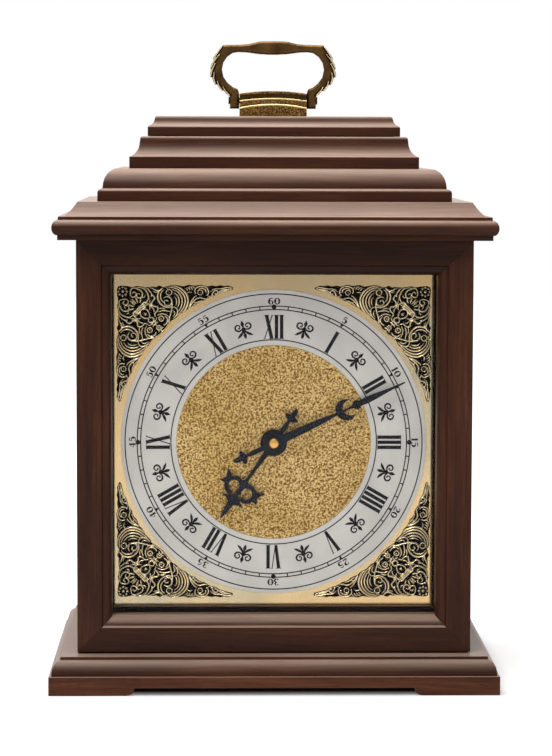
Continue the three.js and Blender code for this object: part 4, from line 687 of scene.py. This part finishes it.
def stamp(height, x, z, curve, widths, base=0.0):
    """Raises a rounded ridge along a curve to 1, its foot at base, with widths spread along it."""
    line = np.array(curve, float)
    length = np.concatenate([[0], np.cumsum(np.hypot(*np.diff(line, axis=0).T))])
    places = np.arange(0, length[-1] + STAMP_STEP, STAMP_STEP)
    px, pz = (np.interp(places, length, line[:, k]) for k in (0, 1))
    radii = np.interp(places / max(length[-1], 1e-9), np.linspace(0, 1, len(widths)), widths) / 2
    x0, z0, step = x[0, 0], z[0, 0], x[0, 1] - x[0, 0]
    for a, b, radius in zip(px, pz, radii):
        reach = int(radius / step) + 2
        j, i = int((a - x0) / step), int((b - z0) / step)
        if i < 0 or j < 0 or i >= x.shape[0] or j >= x.shape[1]:
            continue
        part = (slice(max(i - reach, 0), i + reach + 1), slice(max(j - reach, 0), j + reach + 1))
        near = np.hypot(x[part] - a, z[part] - b) / radius
        dome = base + (1 - base) * np.clip(1 - near ** 2, 0, 1) ** 0.32
        height[part] = np.where(near < 1, np.maximum(height[part], dome), height[part])


# One half of a spandrel: its strokes as points in 1/18 mm from its corner, right and down, with their widths in mm
CORNER = (98.5, 100.0)
STROKES = (
    # scrolls by the corner flower
    (((190, 125), (200, 98), (235, 88), (262, 100), (300, 118), (320, 150), (312, 188), (285, 200), (262, 188)),
     (0.7, 1.0, 1.2, 1.3, 0.8)),
    (((262, 188), (256, 165), (272, 150), (290, 160)), (0.8, 0.6)),
    (((190, 125), (186, 160), (205, 190), (240, 182), (250, 152), (228, 132), (210, 150)), (0.9, 1.0, 0.8)),
    (((255, 88), (300, 84), (345, 104), (372, 140), (388, 190), (372, 232), (352, 250)), (0.5, 1.0, 1.3, 0.9)),
    (((330, 84), (370, 92), (402, 124), (424, 160), (418, 182)), (0.5, 1.1, 0.9)),
    (((322, 196), (345, 188), (352, 160)), (0.5, 0.9, 0.4)),
    # leaf along the top edge
    (((392, 84), (430, 92), (468, 112), (510, 116), (540, 92), (548, 76)), (0.4, 1.1, 1.6, 1.3, 0.5)),
    (((438, 124), (470, 136), (500, 128)), (0.4, 0.8, 0.3)),
    # waving strap
    (((418, 160), (446, 182), (452, 212), (428, 240), (424, 272), (450, 292), (482, 296), (492, 322), (478, 350),
      (456, 372), (462, 404)), (1.2, 1.2, 1.4, 1.1, 0.9)),
    (((400, 206), (404, 250), (420, 296), (446, 326), (448, 350)), (0.5, 0.9, 0.6)),
    (((352, 250), (386, 262), (404, 300), (398, 330)), (0.6, 0.9, 0.4)),
    # great whorl: outer leaf, inner leaves, eye
    (((548, 82), (512, 112), (490, 158), (490, 208), (512, 254), (552, 288), (600, 304), (640, 296)),
     (0.6, 1.4, 1.5, 1.2, 0.8)),
    (((560, 106), (532, 134), (520, 176), (530, 220), (560, 252)), (0.5, 1.0, 1.0, 0.5)),
    (((566, 84), (610, 66), (660, 64), (710, 76), (760, 106), (800, 150), (822, 204), (818, 262), (796, 318),
      (762, 366), (716, 412), (664, 448), (612, 470)), (0.6, 1.2, 1.5, 1.6, 1.6, 1.3, 1.0)),
    (((590, 92), (640, 84), (700, 98), (750, 134), (784, 184), (792, 240), (776, 298), (742, 352), (704, 396)),
     (0.4, 0.9, 1.3, 1.3, 1.1, 0.5)),
    (((650, 106), (700, 126), (738, 166), (758, 218), (754, 274), (732, 324), (704, 362)),
     (0.5, 1.1, 1.2, 1.1, 0.5)),
    (((668, 140), (706, 172), (724, 216), (724, 262), (708, 304)), (0.5, 1.0, 1.1, 0.5)),
    (((676, 186), (694, 214), (698, 250), (688, 282)), (0.5, 0.9, 0.4)),
    (((596, 112), (582, 134), (592, 160), (616, 168), (640, 154), (644, 128), (626, 108), (602, 108)), (0.8,)),
    (((556, 200), (576, 188), (604, 186), (632, 202), (644, 232), (636, 266), (610, 284), (580, 278), (562, 256),
      (566, 234), (586, 224), (602, 236)), (0.5, 1.2, 1.3, 1.1, 0.8, 0.9)),
    (((644, 236), (650, 280), (642, 330), (630, 380), (616, 430), (612, 470)), (0.9, 1.0, 1.1, 1.2)),
    (((652, 300), (682, 304), (704, 326), (706, 362), (690, 398), (660, 428)), (0.5, 1.1, 1.2, 0.6)),
    (((650, 336), (672, 350), (674, 380), (656, 408)), (0.4, 0.9, 0.4)),
    (((500, 352), (540, 338), (580, 340), (628, 350)), (0.6, 1.1, 0.5)),
    (((486, 392), (520, 376), (560, 378), (604, 400), (620, 424)), (0.6, 1.0, 0.5)),
    (((505, 316), (540, 312), (572, 322)), (0.5, 0.9, 0.4)),
    # small eyes by the ring
    (((556, 430), (546, 406), (520, 402), (502, 422), (510, 448), (534, 456), (552, 440)), (0.9,)),
    (((572, 400), (592, 424), (596, 456), (580, 484), (556, 500)), (0.6, 1.2, 0.9)),
    (((520, 430), (528, 430)), (0.9,)),
    # beaded eye in the middle of the curved edge
    (((526, 529), (519, 546), (502, 553), (485, 546), (478, 529), (485, 512), (502, 505), (519, 512), (526, 529)),
     (0.9,)),
    (((500, 529), (504, 529)), (1.0,)),
    (((530, 557), (546, 573)), (1.3, 0.6)),
    (((534, 530), (554, 527)), (1.1, 0.5)),
    (((474, 501), (462, 489)), (1.0, 0.5)),
    # feathers between the whorls
    (((786, 88), (806, 96), (822, 118)), (0.4, 0.9, 0.4)),
    (((806, 78), (832, 88), (846, 112)), (0.4, 0.9, 0.4)),
    (((832, 72), (858, 82), (872, 104)), (0.4, 0.9, 0.4)),
    (((862, 70), (884, 78), (896, 96)), (0.4, 0.8, 0.4)),
    (((812, 146), (838, 134), (866, 140)), (0.4, 0.9, 0.4)),
    # small whorl
    (((906, 150), (898, 118), (914, 86), (950, 70), (994, 68), (1030, 86), (1048, 118), (1046, 150), (1026, 172)),
     (0.6, 1.2, 1.4, 1.2, 0.7)),
    (((930, 120), (950, 96), (984, 92), (1014, 108), (1022, 138)), (0.4, 0.9, 1.0, 0.5)),
    (((930, 140), (936, 118), (958, 110), (980, 122), (984, 146), (966, 164), (942, 160), (930, 144)), (0.6,)),
    (((826, 322), (842, 280), (862, 232), (892, 190), (918, 172)), (0.5, 1.2, 1.2, 0.6)),
    (((842, 300), (872, 252), (908, 214), (950, 196), (996, 206), (1034, 206), (1070, 194), (1098, 170)),
     (0.5, 1.0, 1.1, 1.0, 1.3, 0.8)),
    (((862, 300), (900, 262), (944, 236), (990, 228)), (0.4, 1.0, 0.5)),
    (((880, 222), (890, 244), (912, 250)), (0.4, 0.8, 0.3)),
    (((1040, 172), (1060, 184), (1084, 176), (1094, 152), (1112, 122), (1140, 116), (1152, 138), (1136, 156),
      (1120, 146)), (0.6, 1.1, 1.0, 0.7)),
    # tapering tip
    (((1072, 132), (1096, 108), (1130, 96), (1168, 96), (1210, 90), (1256, 80), (1300, 82)),
     (0.5, 1.0, 1.1, 1.4, 1.0)),
    (((1154, 138), (1190, 116), (1240, 104), (1290, 100)), (0.6, 1.0, 0.5)),
    # rim along the ring
    (((1306, 94), (1250, 112), (1190, 136), (1148, 160), (1105, 184), (1052, 212), (1000, 236), (950, 262),
      (900, 288), (862, 312), (826, 338), (792, 366), (762, 392), (732, 420), (700, 446), (662, 468), (622, 482)),
     (0.8, 1.1, 1.4, 1.3, 1.6, 1.9, 2.3, 2.0, 1.4)),
    (((622, 482), (600, 500), (588, 528), (566, 552), (540, 566)), (1.1, 1.2, 1.0)),
    # plumed headdress
    (((250, 262), (226, 236), (206, 214)), (0.7, 1.5, 1.0)),
    (((268, 250), (258, 222), (246, 196)), (0.6, 1.5, 0.9)),
    (((292, 252), (300, 226), (302, 204)), (0.6, 1.4, 0.8)),
    (((312, 268), (332, 250), (346, 240)), (0.6, 1.3, 0.7)),
    (((226, 396), (262, 352), (304, 308), (344, 286)), (0.5, 0.9, 0.9, 0.5)),
    (((218, 378), (250, 336), (288, 298), (330, 270)), (0.5, 0.9, 0.9, 0.5)),
    (((236, 412), (272, 370), (314, 326), (358, 302)), (0.5, 1.0, 1.0, 0.6)),
    # calm mask: brow, cheek and beard
    (((306, 332), (344, 322), (376, 336), (394, 368), (400, 402), (392, 420)), (0.5, 0.9, 1.0, 0.9, 0.6)),
    (((340, 366), (346, 372), (352, 378)), (0.5, 0.7)),
    (((404, 420), (428, 414), (444, 432), (438, 458)), (0.6, 1.1, 0.6)),
    (((416, 478), (446, 462), (470, 440), (478, 414)), (0.5, 1.1, 0.6)),
    (((430, 500), (464, 484), (492, 462)), (0.5, 1.0, 0.5)),
)
# The mask and two whorls as discs, as (centre, radius, height), and what is sunk into the mask
FILLS = (((350, 377), 1.7, 0.6), ((613, 138), 1.0, 0.42), ((957, 138), 1.0, 0.42))
PITS = (((335, 384), 0.42), ((357, 362), 0.42), ((367, 394), 0.36))
PIT_LEFT = 0.25
STROKE_SCALE = 0.82
# The flower in the corner, and the outline: its end by the ring, its long edge, and the tip between the two halves
FLOWER, PETAL_REACH, PETAL_WIDTH, EYE_WIDTH = (92.9, 92.9), 2.65, 1.7, 2.1
END_EDGE = ((25.4, 95.6), (25.0, 94.9), (25.3, 94.2), (26.2, 93.9))
LOBE, LOBE_TIP = (66.4, 69.9), (67.9, 67.9)
TOP_EDGE = ((26.7, 95.9), (28, 96.6), (30.5, 96.2), (33, 96.8), (35.5, 96.1), (38, 96.6), (41, 96.0), (45, 97.1),
            (48.5, 96.4), (52.5, 97), (55.5, 96), (59, 96.6), (62.5, 97), (66, 95.9), (68, 95.5), (70.5, 96.6),
            (72.5, 95.4), (74, 95.8), (79, 95.4), (84, 96.2), (87, 95.5), (90, 96.1), (93.5, 96.4), (95.4, 95.9))


def from_corner(point):
    """A point of the strokes in mm from the dial's centre."""
    return CORNER[0] - point[0] / 18, CORNER[1] - point[1] / 18


def spandrel():
    """Vertices in mm from the dial's centre, x and z outward, and faces of one cast corner ornament."""
    line = np.arange(23.5, 97.8, 0.25)
    x, z = np.meshgrid(line, line)
    arm = [(97.6 + 0.35 * math.sin(k * 1.9), math.radians(18.5 + k * 1.25)) for k in range(18)]
    arm = [(radius * math.sin(turn), radius * math.cos(turn)) for radius, turn in arm]
    half = list(END_EDGE) + [p for p in arm if p[0] > 32] + [LOBE]
    edge = half + [LOBE_TIP] + [(b, a) for a, b in reversed(half)]
    edge += [(b, a) for a, b in TOP_EDGE] + list(reversed(TOP_EDGE))
    field = outline_field(np.array(edge), x, z)
    height = np.zeros(x.shape)
    for centre, radius, level in FILLS:
        a, b = from_corner(centre)
        height = np.maximum(height, level * np.clip(1.6 * (1 - np.hypot(x - a, z - b) / radius), 0, 1))
    for points, widths in STROKES:
        curve = smooth_line([from_corner(p) for p in points], 5)
        stamp(height, x, z, curve, [w * STROKE_SCALE for w in widths])
    for centre, radius in PITS:
        a, b = from_corner(centre)
        height = np.where(np.hypot(x - a, z - b) < radius, height * PIT_LEFT, height)
    for turn in np.arange(8) * math.pi / 4:
        petal = (FLOWER[0] + PETAL_REACH * math.cos(turn), FLOWER[1] + PETAL_REACH * math.sin(turn))
        stamp(height, x, z, [petal, petal], [PETAL_WIDTH])
    stamp(height, x, z, [FLOWER, FLOWER], [EYE_WIDTH])
    height = np.maximum(height, height.T)  # the other half
    rim = np.clip(1 - np.abs(field - 0.42) / 0.42, 0, 1) * 0.3
    height = np.maximum(height, rim) * np.clip(field / 0.3, 0, 1)

    vertices, faces = outline_front(field, x, z, height)
    feet = {}
    for a, b in open_edges(faces):
        for k in (a, b):
            if k not in feet:
                feet[k] = len(vertices)
                vertices.append((vertices[k][0], SPANDREL_BACK, vertices[k][2]))
        faces.append((b, a, feet[a], feet[b]))
    return np.array(vertices), faces


# Heights run from 0 on the ground to 1 on the ridges; the back stands for the CAD's own
SPANDREL_BACK = -1.0
low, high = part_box("spandrel_top_left")
ground_y, ridge_y = high.y - 0.0004, low.y
carved, carved_faces = spandrel()
carving = antiqued_relief("spandrel_brass", ground_y, ridge_y, (0.0024, 0.0018, 0.0013), srgb(232, 216, 178))
for side, x_sign in (("left", -1), ("right", 1)):
    for level, z_sign in (("top", 1), ("bottom", -1)):
        depth = np.where(carved[:, 1] == SPANDREL_BACK, high.y, ground_y + carved[:, 1] * (ridge_y - ground_y))
        points = np.stack([x_sign * carved[:, 0] * MM, depth, (DIAL_Z + z_sign * carved[:, 2]) * MM], 1)
        faces = carved_faces if x_sign * z_sign > 0 else [f[::-1] for f in carved_faces]
        piece = new_piece(f"spandrel_carving_{level}_{side}", points, faces, carving, "case")
        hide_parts(f"spandrel_{level}_{side}")

# ---------------------------------------------------------------- handle

HANDLE_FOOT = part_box("handle_block")[0].z / MM
# Half of the bail's outline, across and up in mm: over the top and down the feathers, then the lug and the opening
BAIL = ((0, 47.0), (6.0, 46.9), (9.2, 46.7), (11.2, 46.1), (13.1, 45.7), (15.1, 45.2), (20.2, 44.8), (31.4, 44.5),
        (32.9, 42.9), (35.7, 39.2), (37.6, 36.4), (37.1, 35.2), (38.6, 32.8), (39.4, 30.2), (38.8, 29.4),
        (39.5, 27.0), (39.5, 24.8), (38.2, 24.4), (37.6, 22.0), (36.3, 19.7), (35.2, 20.1), (33.8, 17.8),
        (32.0, 15.8), (31.1, 16.3), (29.2, 14.2), (27.0, 12.5), (27.0, 4.9), (21.2, 4.9), (21.2, 14.0),
        (21.6, 15.8), (22.3, 17.2), (25, 18.2), (28.4, 20.9), (31.0, 24.6), (32.0, 29.3), (31.1, 33.6),
        (28.7, 37.2), (25.3, 39.6), (21.9, 40.2), (16.8, 40.0), (9.2, 39.0), (2.7, 38.6))
FEATHERS = (((32.2, 43.2), (35.0, 39.4), (37.0, 36.0)),
            ((33.7, 38.6), (36.8, 34.6), (39.0, 30.4)),
            ((36.3, 33.0), (38.2, 29.0), (39.1, 25.2)),
            ((37.0, 27.2), (37.2, 23.6), (36.2, 20.2)),
            ((34.9, 21.9), (33.9, 18.9), (31.9, 16.3)),
            ((31.4, 18.3), (29.8, 15.8), (27.4, 13.2)))
across, rise = np.meshgrid(np.arange(-40.2, 40.3, 0.3), np.arange(4.2, 47.6, 0.3))
inside = outline_field(np.array(list(BAIL) + [(-a, b) for a, b in reversed(BAIL[1:])]), across, rise)
# Half its thickness as a share of the most: rounded at the edges, with raised feathers and a groove behind each
body_shape = 0.45 + 0.45 * np.sqrt(np.clip(1 - (1 - np.clip(inside / 1.5, 0, 1)) ** 2, 0, 1))
grooved = np.zeros(across.shape)
for line in FEATHERS:
    for side in (-1, 1):
        groove = smooth_line([(side * (a - 1.0), b - 0.1) for a, b in line], 5)
        feather = smooth_line([(side * a, b) for a, b in line], 5)
        stamp(grooved, across, rise, groove, [0.5, 1.0, 1.2])
        stamp(body_shape, across, rise, feather, [0.8, 1.5, 1.5], base=0.6)
body_shape = np.where(body_shape > 0.93, body_shape, body_shape * (1 - 0.3 * grooved))
shell, shell_faces = outline_front(inside, across, rise, -body_shape)
count = len(shell)
back = [tuple(k + count for k in face[::-1]) for face in shell_faces]
sides = [(b, a, a + count, b + count) for a, b in open_edges(shell_faces)]
low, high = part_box("handle_bail")
half_depth = (high.y - low.y) / 2 / MM
points = [(a * MM, half_depth * d * MM, (HANDLE_FOOT + b) * MM) for a, d, b in shell]
points += [(a, -d, b) for a, d, b in points]
bronze = antique_brass("bail_bronze", proud=half_depth * MM)
bail = new_piece("handle_bail_cast", points, shell_faces + back + sides, bronze, "handle")
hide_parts("handle_bail")

# The saddle between the lugs: one cross-section swept along its crown, as (depth, band, rise above the band's
# height, finish), with the finish 0 stippled, 1 rubbed or 2 grooved. A band's height is that at its end and crown.
SADDLE = ((-13, 0, 0, 0), (-13, 1, -1.1, 0), (-13, 1, -0.95, 1), (-13, 1, -0.3, 1), (-12.7, 1, 0, 1),
          (-11.3, 1, 0.05, 2), (-11, 1, 0.3, 0), (-11, 2, -0.95, 0), (-11.1, 2, -0.8, 1), (-11.1, 2, -0.25, 1),
          (-10.8, 2, 0, 1), (-8.7, 2, 0.05, 2), (-8.5, 2, 0.25, 2), (-8.5, 3, -0.1, 2), (-10, 3, 0, 0),
          (-10, 4, -0.55, 0), (-9.9, 4, -0.25, 1), (-9.5, 4, 0, 0))
BANDS = ((0, 0), (5.5, 7.7), (9.9, 11.4), (13.2, 14.2), (14.2, 15.8))
profile = list(SADDLE) + [(-a, band, b, finish) for a, band, b, finish in reversed(SADDLE)]
SADDLE_END = 20.9
stations = np.linspace(-SADDLE_END, SADDLE_END, 61)
points, faces, finishes = [], [], []
for a in stations:
    for depth, band, over, _ in profile:
        end, crown = BANDS[band]
        top = HANDLE_FOOT + end + (crown - end) * (1 - (a / SADDLE_END) ** 2) + over
        points.append((a * MM, depth * MM, top * MM))
count = len(profile)
for i in range(len(stations) - 1):
    for j in range(count - 1):
        k = i * count + j
        faces.append((k, k + count, k + count + 1, k + 1))
        ends = (profile[j][3], profile[j + 1][3])
        finishes.append(1 if ends == (1, 1) else 2 if 2 in ends else 0)
faces += [tuple(range(count)), tuple(range((len(stations) - 1) * count, len(stations) * count))[::-1]]
finishes += [0, 0]
saddle = new_piece("handle_saddle", points, faces, STIPPLED_BRASS, "case", smooth=False)
saddle.data.materials.append(antique_brass("rubbed_brass", RUBBED_TONES))
saddle.data.materials.append(antique_brass("groove_brass", GROOVE_TONES))
for face, finish in zip(saddle.data.polygons, finishes):
    face.material_index = finish
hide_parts("handle_block")

# ---------------------------------------------------------------- lights, floor, camera


def area_light(name, location, target, size, energy):
    lamp = bpy.data.lights.new(name, "AREA")
    lamp.shape, lamp.size, lamp.size_y = "RECTANGLE", *size
    lamp.energy = energy
    holder = bpy.data.objects.new(name, lamp)
    holder.location = location
    holder.rotation_euler = (Vector(target) - Vector(location)).to_track_quat("-Z", "Y").to_euler()
    bpy.context.scene.collection.objects.link(holder)


area_light("overhead", (-0.12, -0.1, 1.35), (0, -0.05, 0.1), (1.1, 0.8), 22)
area_light("front_left", (-0.4, -1.2, 1.6), (0, 0, 0.12), (0.8, 0.5), 15)

world = bpy.data.worlds.new("studio")
bpy.context.scene.world = world
world.use_nodes = True
tree = world.node_tree
tree.nodes.clear()
rays = tree.nodes.new("ShaderNodeLightPath")
direction = tree.nodes.new("ShaderNodeTexCoord")
axes = tree.nodes.new("ShaderNodeSeparateXYZ")
tree.links.new(direction.outputs["Generated"], axes.inputs[0])


def world_range(low, high):
    """Strength that grows from the front of the room to its back."""
    made = tree.nodes.new("ShaderNodeMapRange")
    for limit, value in (("From Min", -1.0), ("From Max", 1.0), ("To Min", low), ("To Max", high)):
        made.inputs[limit].default_value = value
    tree.links.new(axes.outputs["Y"], made.inputs["Value"])
    return made.outputs[0]


def world_choice(ray, otherwise, then):
    """One value for the rays of this kind, and another for the rest."""
    made = tree.nodes.new("ShaderNodeMix")
    made.data_type = "FLOAT"
    tree.links.new(rays.outputs[ray], made.inputs[0])
    for socket, value in ((made.inputs[2], otherwise), (made.inputs[3], then)):
        if isinstance(value, float):
            socket.default_value = value
        else:
            tree.links.new(value, socket)
    return made.outputs[0]


sky = tree.nodes.new("ShaderNodeBackground")
sky.inputs["Color"].default_value = (1, 1, 1, 1)
reflected = world_choice("Is Glossy Ray", world_range(0.1, 0.34), world_range(0.84, 1.1))
tree.links.new(world_choice("Is Camera Ray", reflected, 1.0), sky.inputs["Strength"])
last = tree.nodes.new("ShaderNodeOutputWorld")
tree.links.new(sky.outputs[0], last.inputs[0])

floor_mesh = bpy.data.meshes.new("floor")
floor_mesh.from_pydata([(-4, -4, 0), (4, -4, 0), (4, 4, 0), (-4, 4, 0)], [], [(0, 1, 2, 3)])
floor = bpy.data.objects.new("floor", floor_mesh)
bpy.context.scene.collection.objects.link(floor)
f = Shader("floor")
seen_by = f.node("LightPath").outputs
lift = f.add(seen_by["Is Camera Ray"], seen_by["Is Glossy Ray"])
diffuse = f.node("BsdfDiffuse", Color=(0.6, 0.59, 0.58)).outputs[0]
distance = f.node("VectorMath", {"operation": "LENGTH"}, i0=f.coord).outputs["Value"]
far = f.ramp(f.math("DIVIDE", distance, 2.0, clamp=True), [(0.1, 0.62), (0.55, 1.0)])
# painted contact shadow: the glow fades from 15 mm round the plinth to nothing 10 mm under it, so the feet stand in
# shade
UNDER_X, UNDER_Y = 0.134, 0.094
beside, before = (f.math("SUBTRACT", f.math("ABSOLUTE", part), limit)
                  for part, limit in zip(f.split(), (UNDER_X, UNDER_Y)))
outside = f.add(f.times(f.math("MAXIMUM", beside, before), 40.0), 0.4, clamp=True)
beyond_painted_shadow = f.ramp(outside, [(0.0, 0.0), (1.0, 1.0)])
glow = f.node("Emission", Strength=f.times(lift, f.times(far, beyond_painted_shadow))).outputs[0]
added = f.node("AddShader", i0=diffuse, i1=glow).outputs[0]
f.tree.links.new(added, f.out.inputs[0])
floor_mesh.materials.append(f.material)

# The photograph's own camera, fitted to the mouldings, the door and the plinth
CAMERA_PLACE = (-0.03471, -1.67869, 0.33404)
YAW, PITCH, ROLL = 1.268, -5.103, 0.157
LENS = 126.56
camera = bpy.data.objects.new("camera", bpy.data.cameras.new("camera"))
bpy.context.scene.collection.objects.link(camera)
yaw, pitch, roll = (math.radians(a) for a in (YAW, PITCH, ROLL))
ahead = Vector((math.sin(yaw) * math.cos(pitch), math.cos(yaw) * math.cos(pitch), math.sin(pitch)))
level = Vector((math.cos(yaw), -math.sin(yaw), 0))
upright = level.cross(ahead)
right = math.cos(roll) * level + math.sin(roll) * upright
up = -math.sin(roll) * level + math.cos(roll) * upright
facing = Matrix((right, up, -ahead)).transposed().to_4x4()
camera.matrix_world = Matrix.Translation(CAMERA_PLACE) @ facing
camera.data.lens = LENS
bpy.context.scene.camera = camera
bpy.context.scene.view_settings.view_transform = "Standard"
